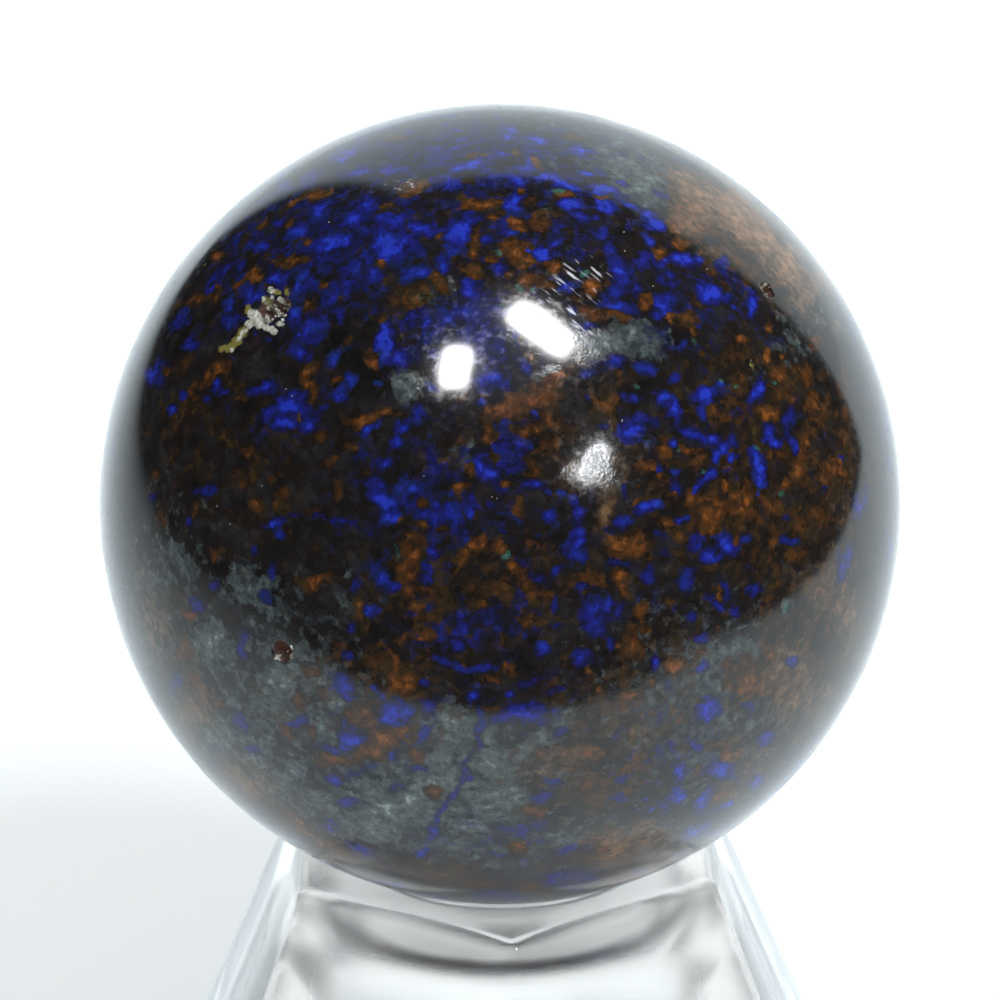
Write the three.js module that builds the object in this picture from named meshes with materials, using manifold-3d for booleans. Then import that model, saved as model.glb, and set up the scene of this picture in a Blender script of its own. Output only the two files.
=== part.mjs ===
// Azurite sphere on a clear moulded stand. Millimetres, +Z up, the viewer on the -Y side.
// The origin is the middle of the stand's foot, on the surface that it stands on.
import * as THREE from 'three';
import { mergeVertices } from 'three/addons/utils/BufferGeometryUtils.js';
import Module from 'manifold-3d';

// Driving dimensions of the stone
const STONE_RADIUS = 22.5;
const STONE_DETAIL = 13;

// Driving dimensions of the stand
const STAND_HEIGHT = 20;
const STAND_TOP_RADIUS = 13.6;
const STAND_FOOT_RADIUS = 22.2;
const STAND_SIDES = 6;
const STAND_EDGE = 0.4;
const SEAT_DEPTH = 2.1;
const SEAT_GAP = 0.3;
const SEAT_EXTRA_RADIUS = 0.7;
const CEILING_THICKNESS = 2.0;
const WALL_THICKNESS = 1.7;
const HOLLOW_ROUND = 5;

// Sizes worked out from the driving dimensions
const SEAT_RADIUS = STONE_RADIUS + SEAT_EXTRA_RADIUS;
const SEAT_BOTTOM = STAND_HEIGHT - SEAT_DEPTH;
const CEILING_HEIGHT = SEAT_BOTTOM - CEILING_THICKNESS;
const STONE_CENTRE = SEAT_BOTTOM + SEAT_GAP + STONE_RADIUS;
const FLARE = (STAND_FOOT_RADIUS - STAND_TOP_RADIUS) / STAND_HEIGHT;
const FLAT_PER_CORNER = Math.cos(Math.PI / STAND_SIDES);

// Hollows in the stone's surface: where each one is, as degrees round from the viewer's side and up
// from the equator, how wide it is, and how deep
const HOLLOWS = [
  { name: 'vug', around: -52.5, up: 45.6, width: 1.5, depth: 1.0 },
  { name: 'vug mouth', around: -49.8, up: 47.0, width: 1.1, depth: 0.7 },
  { name: 'left pit', around: -32.5, up: 1.4, width: 1.2, depth: 0.7 },
  { name: 'right pit', around: 62.8, up: 44.4, width: 0.9, depth: 0.6 },
  { name: 'back pit', around: 158, up: 18, width: 1.6, depth: 0.9 },
  { name: 'back right pit', around: 118, up: -12, width: 1.2, depth: 0.8 },
  { name: 'back left pit', around: -128, up: -4, width: 1.4, depth: 0.8 },
];

// Fineness of the round cuts, and how far a cut runs past the face that it opens
const PIT_DETAIL = 2;
const ROUND_SEGMENTS = 48;
const SEAT_STEPS = 6;
const ROUND_STEPS = 7;
const CUT_PAST = 1;

const wasm = await Module();
wasm.setup();

// A closed three.js geometry as a solid for cutting
function toSolid(geometry) {
  const plain = geometry.clone();
  plain.deleteAttribute('normal');
  plain.deleteAttribute('uv');
  const merged = mergeVertices(plain, 1e-5);
  const mesh = new wasm.Mesh({
    numProp: 3,
    vertProperties: new Float32Array(merged.attributes.position.array),
    triVerts: new Uint32Array(merged.index.array),
  });
  return new wasm.Manifold(mesh);
}

function toGeometry(solid) {
  const mesh = solid.getMesh();
  const geometry = new THREE.BufferGeometry();
  geometry.setAttribute('position', new THREE.BufferAttribute(mesh.vertProperties, 3));
  geometry.setIndex(new THREE.BufferAttribute(mesh.triVerts, 1));
  geometry.computeVertexNormals();
  return geometry;
}

// A turned shape about Z with a corner towards the viewer, from a profile of [radius, height] points
function turned(profile, segments) {
  const points = profile.map(([radius, height]) => new THREE.Vector2(radius, height));
  const geometry = new THREE.LatheGeometry(points, segments);
  geometry.rotateX(Math.PI / 2);
  return geometry;
}

// The way out from the stone's centre at an angle round from the viewer's side and up
function outward(around, up) {
  const round = THREE.MathUtils.degToRad(around);
  const rise = THREE.MathUtils.degToRad(up);
  return new THREE.Vector3(
    Math.cos(rise) * Math.sin(round),
    -Math.cos(rise) * Math.cos(round),
    Math.sin(rise),
  );
}

// The ball, with its vug and pits cut as small ellipsoids centred on the surface
function stone() {
  let solid = toSolid(new THREE.IcosahedronGeometry(STONE_RADIUS, STONE_DETAIL));
  for (const hollow of HOLLOWS) {
    const way = outward(hollow.around, hollow.up);
    const cutter = new THREE.IcosahedronGeometry(1, PIT_DETAIL);
    cutter.scale(hollow.width / 2, hollow.width / 2, hollow.depth);
    cutter.applyQuaternion(new THREE.Quaternion().setFromUnitVectors(new THREE.Vector3(0, 0, 1), way));
    cutter.translate(...way.multiplyScalar(STONE_RADIUS).toArray());
    solid = solid.subtract(toSolid(cutter));
  }
  return toGeometry(solid);
}

// The outside radius of the stand, to a corner, at a height
function cornerRadius(height) {
  return STAND_FOOT_RADIUS - FLARE * height;
}

// The six-sided flared body with a small chamfer round its top edge
function standBody() {
  const edgeHeight = STAND_HEIGHT - STAND_EDGE;
  const profile = [
    [0, 0],
    [STAND_FOOT_RADIUS, 0],
    [cornerRadius(edgeHeight), edgeHeight],
    [STAND_TOP_RADIUS - STAND_EDGE, STAND_HEIGHT],
    [0, STAND_HEIGHT],
  ];
  return turned(profile, STAND_SIDES);
}

// The shallow round seat that follows the stone
function seatCutter() {
  const centre = SEAT_BOTTOM + SEAT_RADIUS;
  const rim = Math.acos((SEAT_RADIUS - SEAT_DEPTH - CUT_PAST) / SEAT_RADIUS);
  const profile = [];
  for (let step = 0; step <= SEAT_STEPS; step += 1) {
    const angle = (rim * step) / SEAT_STEPS;
    profile.push([SEAT_RADIUS * Math.sin(angle), centre - SEAT_RADIUS * Math.cos(angle)]);
  }
  profile.push([0, STAND_HEIGHT + CUT_PAST]);
  return turned(profile, ROUND_SEGMENTS);
}

// The inside radius of the hollow's sloping wall at a height
function wallRadius(height) {
  const lean = Math.atan(FLARE * FLAT_PER_CORNER);
  return cornerRadius(height) * FLAT_PER_CORNER - WALL_THICKNESS / Math.cos(lean);
}

// The round hollow under the stand: a sloping wall, a large rounding and a flat ceiling
function hollowCutter() {
  const turn = Math.PI / 2 - Math.atan(FLARE * FLAT_PER_CORNER);
  const flatEnd = wallRadius(CEILING_HEIGHT) - HOLLOW_ROUND * Math.tan(turn / 2);
  const profile = [
    [0, -CUT_PAST],
    [wallRadius(-CUT_PAST), -CUT_PAST],
  ];
  for (let step = ROUND_STEPS; step >= 0; step -= 1) {
    const angle = (turn * step) / ROUND_STEPS;
    profile.push([
      flatEnd + HOLLOW_ROUND * Math.sin(angle),
      CEILING_HEIGHT - HOLLOW_ROUND * (1 - Math.cos(angle)),
    ]);
  }
  profile.push([0, CEILING_HEIGHT]);
  return turned(profile, ROUND_SEGMENTS);
}

function stand() {
  const seated = toSolid(standBody()).subtract(toSolid(seatCutter()));
  return toGeometry(seated.subtract(toSolid(hollowCutter())));
}

const stoneMaterial = new THREE.MeshStandardMaterial({ color: 0x1f2038, roughness: 0.12, metalness: 0 });
const standMaterial = new THREE.MeshStandardMaterial({
  color: 0xe6ecee,
  roughness: 0.05,
  metalness: 0,
  transparent: true,
  opacity: 0.3,
});

const part = new THREE.Group();

const stoneMesh = new THREE.Mesh(stone(), stoneMaterial);
stoneMesh.name = 'azurite_sphere';
stoneMesh.position.set(0, 0, STONE_CENTRE);
part.add(stoneMesh);

const standMesh = new THREE.Mesh(stand(), standMaterial);
standMesh.name = 'stand';
part.add(standMesh);

export default part;
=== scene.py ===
# %% [markdown]
# A polished azurite sphere on a clear moulded stand.
#
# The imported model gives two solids: a ball with a few pits, and a clear six-sided stand. This lesson
# dresses both. It loads the solids as a fixed frame, finds the camera of the photograph, grinds a finer
# ball with its vug and pits, grows the minerals in it, sets small crystals in the vug, moulds the clear
# stand, and lights the table. All sizes are in metres.

# %% Load the fixed frame
import math

import bpy
import numpy as np
from mathutils import Matrix, Vector, noise


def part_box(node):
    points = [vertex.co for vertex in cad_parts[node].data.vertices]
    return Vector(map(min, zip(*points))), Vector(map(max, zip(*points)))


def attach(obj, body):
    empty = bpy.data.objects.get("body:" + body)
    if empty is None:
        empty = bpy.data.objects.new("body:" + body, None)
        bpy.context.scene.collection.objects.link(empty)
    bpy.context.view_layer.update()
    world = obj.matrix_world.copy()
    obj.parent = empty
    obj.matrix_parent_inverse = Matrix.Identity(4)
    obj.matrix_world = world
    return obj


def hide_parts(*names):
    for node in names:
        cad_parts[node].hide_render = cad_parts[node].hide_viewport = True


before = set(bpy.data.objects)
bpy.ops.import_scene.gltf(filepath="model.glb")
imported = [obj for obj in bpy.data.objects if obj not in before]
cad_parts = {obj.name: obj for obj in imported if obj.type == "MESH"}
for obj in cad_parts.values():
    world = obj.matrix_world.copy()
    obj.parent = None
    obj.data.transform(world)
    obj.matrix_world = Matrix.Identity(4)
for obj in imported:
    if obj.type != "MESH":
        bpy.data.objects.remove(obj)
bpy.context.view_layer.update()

# %% [markdown]
# The measures come from the solids, so that the dressed pieces fit them. The ball's box gives its radius
# and its centre. The stand's box gives its height and how far out its feet reach.

# %% Measures of the two solids
stone_low, stone_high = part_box("azurite_sphere")
STONE_RADIUS = (stone_high.z - stone_low.z) / 2
STONE_CENTRE = Vector((0.0, 0.0, (stone_high.z + stone_low.z) / 2))
stand_low, stand_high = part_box("stand")
STAND_HEIGHT = stand_high.z - stand_low.z
STAND_FOOT_RADIUS = (stand_high.y - stand_low.y) / 2
MM = 0.001
print("stone radius", round(STONE_RADIUS, 5), "centre height", round(STONE_CENTRE.z, 5))
print("stand height", round(STAND_HEIGHT, 5), "foot radius", round(STAND_FOOT_RADIUS, 5))

# %% [markdown]
# The photograph was taken from in front and above. Its camera is found from the outline of the ball: the
# ball is 800 pixels wide, and its stand is seen from 25 degrees up, a little from the left, with the
# camera turned by less than a degree. The same numbers turn a place in the picture into a direction from
# the middle of the stone, and that is how the markings find their places further down.

# %% The camera of the photograph
PICTURE_SIZE = 1000
STONE_PIXELS = 400
STONE_PIXEL_X = 500
STONE_PIXEL_Y = 504
CAMERA_RISE = math.radians(25)
CAMERA_SIDE = math.radians(1.5)
CAMERA_ROLL = math.radians(0.7)
CAMERA_REACH = 12
SENSOR = 36

camera_back = Vector((
    -math.sin(CAMERA_SIDE) * math.cos(CAMERA_RISE),
    -math.cos(CAMERA_SIDE) * math.cos(CAMERA_RISE),
    math.sin(CAMERA_RISE),
))
level_right = Vector((math.cos(CAMERA_SIDE), -math.sin(CAMERA_SIDE), 0.0))
level_up = camera_back.cross(level_right)
camera_right = level_right * math.cos(CAMERA_ROLL) - level_up * math.sin(CAMERA_ROLL)
camera_up = level_right * math.sin(CAMERA_ROLL) + level_up * math.cos(CAMERA_ROLL)
pixels_per_slope = STONE_PIXELS / math.tan(math.asin(1 / CAMERA_REACH))


def on_stone(x, y):
    """The direction from the stone's centre to the place on its surface that this pixel shows."""
    ray = camera_right * ((x - STONE_PIXEL_X) / pixels_per_slope)
    ray = ray - camera_up * ((y - STONE_PIXEL_Y) / pixels_per_slope) - camera_back
    ray.normalize()
    start = camera_back * CAMERA_REACH
    towards = start.dot(ray)
    miss = max(towards * towards - CAMERA_REACH * CAMERA_REACH + 1, 0.0)
    return (start + ray * (-towards - math.sqrt(miss))).normalized()


def mirrored(x, y):
    """The direction that the polished stone mirrors at this pixel."""
    normal = on_stone(x, y)
    view = (camera_back * CAMERA_REACH - normal).normalized()
    return normal * (2 * normal.dot(view)) - view


def place_new(name, data):
    made = bpy.data.objects.new(name, data)
    bpy.context.scene.collection.objects.link(made)
    return made


camera_data = bpy.data.cameras.new("picture camera")
camera_data.sensor_width = SENSOR
camera_data.lens = SENSOR * pixels_per_slope / PICTURE_SIZE
camera_data.shift_y = (STONE_PIXEL_Y - PICTURE_SIZE / 2) / PICTURE_SIZE
camera_data.clip_start = 0.01
camera_object = place_new("picture camera", camera_data)
turned = Matrix((camera_right, camera_up, camera_back)).transposed().to_4x4()
place = STONE_CENTRE + camera_back * (CAMERA_REACH * STONE_RADIUS)
camera_object.matrix_world = Matrix.Translation(place) @ turned
bpy.context.scene.camera = camera_object
print("camera at", tuple(round(v, 4) for v in place), "lens", round(camera_data.lens, 1))

# %% [markdown]
# Every piece is made the same way as by hand: everything is deselected, a primitive is added, the faces or
# corners to work on are selected by their place, and edit-mode tools shape them. These helpers hold the
# steps that come back each time.

# %% Helpers for modelling


def start_fresh():
    if bpy.context.object and bpy.context.object.mode != "OBJECT":
        bpy.ops.object.mode_set(mode="OBJECT")
    bpy.ops.object.select_all(action="DESELECT")


def make_active(piece):
    start_fresh()
    piece.select_set(True)
    bpy.context.view_layer.objects.active = piece


def read_corners(piece):
    places = np.empty(len(piece.data.vertices) * 3, dtype=np.float32)
    piece.data.vertices.foreach_get("co", places)
    return places.reshape(-1, 3).astype(float)


def read_face_centres(piece):
    places = np.empty(len(piece.data.polygons) * 3, dtype=np.float32)
    piece.data.polygons.foreach_get("center", places)
    return places.reshape(-1, 3).astype(float)


SELECT_MODES = {
    "vertices": (True, False, False),
    "edges": (False, True, False),
    "polygons": (False, False, True),
}


def edit_with(piece, kind, wanted):
    """Opens the piece in edit mode with just these corners, edges or faces selected."""
    make_active(piece)
    for part in SELECT_MODES:
        items = getattr(piece.data, part)
        chosen = wanted if part == kind else np.zeros(len(items), dtype=bool)
        items.foreach_set("select", np.asarray(chosen, dtype=bool))
    bpy.context.tool_settings.mesh_select_mode = SELECT_MODES[kind]
    bpy.ops.object.mode_set(mode="EDIT")


def done_editing():
    bpy.ops.object.mode_set(mode="OBJECT")


def finish_modifier(piece, kind, name, **settings):
    """Adds a modifier with these settings and applies it."""
    modifier = piece.modifiers.new(name, kind)
    for key, value in settings.items():
        setattr(modifier, key, value)
    make_active(piece)
    bpy.ops.object.modifier_apply(modifier=modifier.name)


def settle(piece):
    """Puts the piece's place into its mesh, so that its object sits at the origin."""
    make_active(piece)
    bpy.ops.object.transform_apply(location=True, rotation=True, scale=True)


def shade_round(piece, sharp_from):
    make_active(piece)
    bpy.ops.object.shade_smooth_by_angle(angle=math.radians(sharp_from))


print("modelling helpers ready")

# %% [markdown]
# The stone is a natural lump ground to a ball and polished. An icosphere is the best start for it, because
# its triangles are all about the same size and it has no poles. Its faces on the viewer's side are
# subdivided once more, so that the small markings there have enough corners to hold them, and a Cast
# modifier pushes every corner back onto the true ball.

# %% The ground ball
BALL_LEVELS = 7
CLOSE_LOOK = 0.25

start_fresh()
bpy.ops.mesh.primitive_ico_sphere_add(subdivisions=BALL_LEVELS, radius=STONE_RADIUS, location=STONE_CENTRE)
stone = bpy.context.object
stone.name = "stone_ball"
facing = read_face_centres(stone) @ np.array(camera_back) / STONE_RADIUS
edit_with(stone, "polygons", facing > CLOSE_LOOK)
bpy.ops.mesh.subdivide(number_cuts=1)
done_editing()
finish_modifier(stone, "CAST", "true ball", cast_type="SPHERE", factor=1.0, size=STONE_RADIUS,
                use_radius_as_size=False)
print("ball faces", len(stone.data.polygons))

# %% [markdown]
# A few hollows break the polish: a vug at the upper left, where a cavity in the rock was cut open, and
# small pits. They sit where the solid has them. Each is sunk in steps, as with a small burr: the faces
# around it are subdivided, then a smaller and smaller patch is pushed inwards, and the bottom is shaken
# into an uneven natural floor.

# %% The vug and the pits
HOLLOWS = [
    ("vug", -52.5, 45.6, 1.5, 1.0),
    ("vug mouth", -49.8, 47.0, 1.1, 0.7),
    ("left pit", -32.5, 1.4, 1.2, 0.7),
    ("right pit", 62.8, 44.4, 0.9, 0.6),
    ("back pit", 158, 18, 1.6, 0.9),
    ("back right pit", 118, -12, 1.2, 0.8),
    ("back left pit", -128, -4, 1.4, 0.8),
]
SINK_STEPS = [(1.0, 0.30), (0.85, 0.30), (0.68, 0.25), (0.45, 0.15)]
FINER_REACH = 1.35
SMOOTH_REACH = 1.05
SHAKE_REACH = 0.9
SHAKE = 0.09


def outward(around, up):
    """The direction at these degrees round from the viewer's side and up from the equator."""
    turn = math.radians(around)
    rise = math.radians(up)
    return Vector((math.cos(rise) * math.sin(turn), -math.cos(rise) * math.cos(turn), math.sin(rise)))


def sink(piece, way, width, depth, seed):
    reach = width / 2
    middle = np.array(way * STONE_RADIUS)
    near = np.linalg.norm(read_face_centres(piece) - middle, axis=1) < reach * FINER_REACH
    edit_with(piece, "polygons", near)
    bpy.ops.mesh.subdivide(number_cuts=2)
    done_editing()
    flat = read_corners(piece) - middle
    away = np.linalg.norm(flat, axis=1)
    for share, push in SINK_STEPS:
        edit_with(piece, "vertices", away < reach * share)
        bpy.ops.transform.translate(value=way * (-depth * push))
        done_editing()
    edit_with(piece, "vertices", away < reach * SMOOTH_REACH)
    bpy.ops.mesh.vertices_smooth(factor=0.5, repeat=2)
    done_editing()
    edit_with(piece, "vertices", away < reach * SHAKE_REACH)
    bpy.ops.transform.vertex_random(offset=reach * SHAKE, uniform=0.0, normal=0.0, seed=seed)
    done_editing()


for number, (name, around, up, width, depth) in enumerate(HOLLOWS):
    sink(stone, outward(around, up), width * MM, depth * MM, number)
print("with hollows:", len(stone.data.polygons), "faces")

# %% [markdown]
# The white crystals in the vug and the pits and the single bright dots, which are painted glints, are
# thinner than the ball's triangles. So the faces at those places are subdivided again. Each place is a
# pixel of the photograph with a radius in pixels.

# %% A finer mesh at the small sharp markings
VUG_LOOK = (257, 317, 36)
PIT_LOOKS = [(282, 651, 13), (764, 288, 10)]
GLINT_PLACES = [
    (217, 506), (230, 524), (262, 486), (286, 389), (292, 396), (424, 476), (492, 497), (497, 498),
    (622, 421), (625, 251), (707, 269), (653, 286), (622, 420), (329, 222), (506, 555), (624, 232),
]
GLINT_LOOK = 4
COARSE_FACE = (0.09 * MM) ** 2


def look_closer(piece, x, y, radius):
    places = read_face_centres(piece) / STONE_RADIUS
    reach = radius / STONE_PIXELS
    near = np.linalg.norm(places - np.array(on_stone(x, y)), axis=1) < reach
    areas = np.empty(len(piece.data.polygons), dtype=np.float32)
    piece.data.polygons.foreach_get("area", areas)
    edit_with(piece, "polygons", near & (areas > COARSE_FACE))
    bpy.ops.mesh.subdivide(number_cuts=2)
    done_editing()


for look in [VUG_LOOK] + PIT_LOOKS + [(x, y, GLINT_LOOK) for x, y in GLINT_PLACES]:
    look_closer(stone, *look)
settle(stone)
shade_round(stone, 60)
triangles = sum(len(face.vertices) - 2 for face in stone.data.polygons)
print("with closer looks:", triangles, "triangles")

# %% [markdown]
# The stone is several minerals grown together: blue azurite, rust-brown iron ore, silver-grey ore with
# fine glitter, near-black matrix, and small bits of green malachite and white calcite. A texture from
# noise alone would give the right kind of rock, but not this one. So the markings that the photograph
# shows are listed, each as a soft spot with a place in the picture, a size in pixels, a turn in
# degrees and a strength. At every corner of the mesh the strongest spot of a mineral gives its
# abundance, which is stored on the mesh. The material then draws ragged grains where the abundance is
# high. First the corners are bent a little by noise, so that no spot keeps a plain oval outline. The noise
# gets a seed, because without one it would be another noise at every run.

# %% Corners as directions, gently bent by noise
BEND_SIZES = [(13.0, 0.022), (31.0, 0.011), (70.0, 0.004)]
BEND_SEED = 5
SEEN_FROM = 0.10
SEEN_FADE = 0.10

noise.seed_set(BEND_SEED)
ways = read_corners(stone) - np.array(STONE_CENTRE)
ways = ways / np.linalg.norm(ways, axis=1)[:, None]
bent = ways.copy()
for fineness, amount in BEND_SIZES:
    shake = np.array([noise.noise_vector(Vector(way) * fineness) for way in ways])
    bent = bent + shake * amount
bent = bent / np.linalg.norm(bent, axis=1)[:, None]
print("bent", len(bent), "corners")


def in_picture(directions):
    """The pixel of the photograph at which each place on the stone shows."""
    depth = CAMERA_REACH - directions @ np.array(camera_back)
    x = STONE_PIXEL_X + pixels_per_slope * (directions @ np.array(camera_right)) / depth
    y = STONE_PIXEL_Y - pixels_per_slope * (directions @ np.array(camera_up)) / depth
    return x, y


bent_places = in_picture(bent)
true_places = in_picture(ways)
seen = np.clip((ways @ np.array(camera_back) - SEEN_FROM) / SEEN_FADE, 0.0, 1.0)


def spot_field(spots, places=bent_places, growth=1.0):
    """The strongest of these spots at each corner: 1 in the middle of a plain spot, a half at its edge."""
    field = np.zeros(len(bent))
    for x, y, wide, high, turn, strength in spots:
        angle = math.radians(turn)
        right = places[0] - x
        upward = y - places[1]
        along = (right * math.cos(angle) + upward * math.sin(angle)) / (wide * growth / 2)
        across = (upward * math.cos(angle) - right * math.sin(angle)) / (high * growth / 2)
        field = np.maximum(field, strength * 2.0 ** -(along * along + across * across))
    return field * seen


def vein(points, wide, strength):
    """Spots set end to end along a line of picture places."""
    spots = []
    for (x1, y1), (x2, y2) in zip(points, points[1:]):
        length = math.hypot(x2 - x1, y2 - y1)
        turn = math.degrees(math.atan2(y1 - y2, x2 - x1))
        spots.append(((x1 + x2) / 2, (y1 + y2) / 2, length * 1.25, wide, turn, strength))
    return spots

# %% [markdown]
# Azurite first. It is densest from the upper left across the top to the right, in vivid crumbs from half
# a millimetre to two millimetres wide. The brightest have a strength above one, and the deep navy ones a
# strength below one.

# %% Azurite crumbs
BLUE_TOP_LEFT = [
    (310, 178, 17, 11, 20, 1.1), (343, 155, 25, 14, 25, 1.1), (358, 174, 14, 6, 10, 1.1),
    (387, 172, 16, 8, 0, 1.1), (282, 188, 14, 10, 30, 1.0), (320, 209, 18, 18, 0, 1.0),
    (299, 230, 18, 11, 25, 1.2), (278, 224, 10, 8, 0, 1.0), (259, 249, 14, 12, 0, 1.1),
    (238, 239, 12, 8, 30, 0.8), (330, 243, 34, 18, 10, 1.2), (354, 220, 18, 14, 20, 1.3),
    (368, 207, 22, 13, 15, 1.1), (391, 247, 30, 28, 40, 1.3), (383, 222, 18, 12, 0, 1.1),
    (352, 268, 12, 16, 0, 1.1), (370, 276, 12, 14, 0, 1.1), (366, 256, 10, 14, 0, 1.1),
    (322, 262, 20, 20, 0, 0.9), (307, 283, 28, 15, 30, 1.0), (278, 277, 24, 13, 15, 1.2),
    (219, 274, 26, 11, 35, 0.9), (253, 298, 17, 10, 10, 1.1), (224, 306, 10, 15, 0, 1.0),
    (230, 318, 18, 18, 0, 0.8), (182, 318, 22, 11, 20, 0.9), (192, 344, 13, 12, 30, 0.9),
    (291, 314, 10, 14, 30, 1.3), (341, 316, 11, 10, 0, 1.1), (312, 329, 30, 18, 40, 1.0),
    (297, 352, 14, 18, 20, 1.1), (333, 354, 12, 12, 0, 1.3), (387, 343, 11, 26, 0, 1.5),
    (155, 375, 10, 20, -25, 1.1), (330, 297, 20, 20, 0, 0.8), (402, 357, 22, 12, -20, 1.2),
    (425, 323, 12, 12, 0, 1.2), (412, 313, 14, 10, 30, 0.9), (244, 265, 14, 7, 30, 0.9),
    (207, 291, 14, 8, 40, 0.8),
]
BLUE_TOP = [
    (453, 130, 17, 4, 5, 1.0), (509, 134, 12, 14, -30, 1.2), (539, 138, 21, 8, -8, 1.2),
    (581, 153, 24, 8, -10, 1.2), (499, 153, 8, 8, 0, 1.0), (587, 174, 11, 5, 0, 1.1),
    (469, 165, 38, 8, 12, 1.3), (394, 170, 20, 11, 10, 1.1), (526, 165, 11, 9, 0, 1.1),
    (541, 177, 30, 8, -8, 1.2), (562, 184, 27, 8, -15, 1.2), (449, 180, 15, 11, 0, 1.2),
    (520, 181, 18, 13, -20, 1.3), (606, 191, 26, 7, -10, 1.3), (514, 201, 10, 16, 0, 1.4),
    (570, 205, 17, 10, 5, 1.6), (606, 207, 13, 10, -20, 1.6), (578, 218, 18, 9, -10, 1.1),
    (594, 217, 7, 6, 0, 1.1), (469, 216, 20, 14, 0, 1.1), (396, 222, 13, 13, 0, 1.3),
    (428, 230, 22, 12, 10, 1.2), (456, 233, 15, 28, -8, 1.4), (413, 249, 16, 13, 0, 1.1),
    (491, 241, 12, 10, 0, 1.1), (513, 235, 9, 7, 0, 1.0), (373, 274, 13, 13, 0, 1.1),
    (413, 277, 18, 13, 20, 1.2), (442, 262, 13, 18, 20, 1.1), (475, 284, 17, 17, 0, 1.2),
    (497, 266, 15, 15, 0, 0.85), (541, 254, 14, 11, 0, 1.3), (528, 252, 6, 6, 0, 1.1),
    (555, 243, 9, 8, 0, 1.0), (612, 247, 11, 11, 0, 1.2), (601, 231, 10, 10, 0, 0.9),
    (622, 272, 22, 28, 10, 1.15), (643, 258, 12, 13, 0, 1.1), (618, 307, 36, 10, -16, 1.2),
    (570, 312, 13, 10, -30, 1.1), (566, 285, 12, 9, -40, 1.1), (560, 290, 8, 5, -40, 1.0),
    (583, 327, 28, 7, 5, 1.0), (614, 354, 14, 12, 0, 0.85), (641, 365, 12, 11, 0, 1.1),
    (587, 377, 9, 11, 0, 1.0), (526, 365, 13, 13, 0, 1.1), (491, 385, 30, 12, -10, 1.2),
    (465, 314, 66, 30, 10, 0.78), (493, 346, 30, 40, 0, 0.8), (455, 183, 22, 6, 0, 1.0),
    (633, 232, 8, 12, 0, 0.8),
]
BLUE_TOP_RIGHT = [
    (608, 190, 21, 8, -5, 1.3), (625, 184, 10, 5, 0, 1.1), (629, 203, 24, 7, -15, 1.5),
    (646, 213, 16, 9, -35, 1.4), (657, 224, 20, 12, -20, 1.5), (652, 241, 14, 10, -20, 1.2),
    (604, 234, 11, 9, 0, 0.9), (682, 257, 30, 11, -14, 1.5), (699, 258, 13, 9, -10, 1.0),
    (667, 261, 10, 8, 30, 1.3), (646, 259, 24, 18, 20, 1.1), (625, 275, 16, 32, 20, 1.25),
    (611, 292, 20, 14, 0, 1.1), (673, 272, 8, 6, 0, 1.1), (658, 279, 9, 7, 0, 1.1),
    (722, 263, 15, 12, 0, 0.95), (722, 272, 9, 7, 0, 0.8), (709, 293, 26, 17, -14, 1.6),
    (700, 287, 12, 8, 0, 1.2), (732, 303, 7, 6, 0, 1.1), (751, 304, 10, 19, -15, 1.5),
    (663, 303, 20, 20, 20, 1.2), (655, 313, 9, 9, 0, 1.2), (682, 342, 12, 10, 40, 1.2),
    (613, 356, 18, 14, 0, 0.8), (644, 365, 20, 12, -10, 1.1), (675, 380, 11, 18, 0, 0.85),
    (641, 290, 9, 9, 0, 0.9),
]
BLUE_LEFT = [
    (152, 376, 16, 22, 20, 1.1), (182, 395, 8, 13, -30, 1.0), (172, 411, 8, 8, 0, 1.1),
    (214, 387, 13, 12, 0, 1.1), (223, 393, 14, 8, 20, 1.2), (206, 401, 8, 8, 0, 1.1),
    (261, 389, 18, 10, 0, 1.1), (284, 407, 18, 16, 0, 1.4), (267, 416, 24, 12, 20, 1.0),
    (284, 424, 17, 11, 0, 1.5), (302, 411, 38, 24, -10, 1.0), (309, 425, 17, 12, 10, 1.3),
    (348, 383, 10, 16, 0, 1.2), (340, 398, 17, 13, 0, 1.3), (374, 427, 16, 8, 25, 1.4),
    (361, 434, 20, 5, 0, 0.75), (378, 385, 9, 9, 0, 1.0), (388, 462, 11, 10, 0, 1.1),
    (380, 488, 16, 16, 0, 0.95), (382, 502, 22, 14, -30, 1.4), (387, 519, 21, 15, -10, 1.6),
    (210, 490, 14, 13, 0, 0.9), (200, 494, 15, 9, 0, 0.9), (189, 523, 8, 12, 0, 0.8),
    (273, 521, 21, 9, 35, 1.1), (279, 536, 9, 9, 0, 1.1), (252, 552, 8, 7, 0, 0.75),
    (273, 571, 9, 18, 0, 0.8), (269, 598, 15, 11, 0, 1.0), (351, 588, 11, 9, 0, 0.8),
    (384, 578, 16, 20, 0, 1.05), (369, 614, 14, 16, 30, 1.1), (346, 632, 9, 10, 0, 1.1),
    (353, 659, 11, 8, 0, 1.1), (152, 496, 10, 12, 0, 0.75), (214, 584, 14, 10, 0, 0.9),
    (198, 603, 20, 13, 20, 0.95), (244, 642, 11, 22, 0, 1.0), (325, 409, 14, 9, 0, 0.8),
    (298, 395, 22, 12, 0, 0.75),
]
BLUE_VEIN = [(282, 511), (305, 513), (325, 518), (346, 519), (359, 531)]
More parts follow.
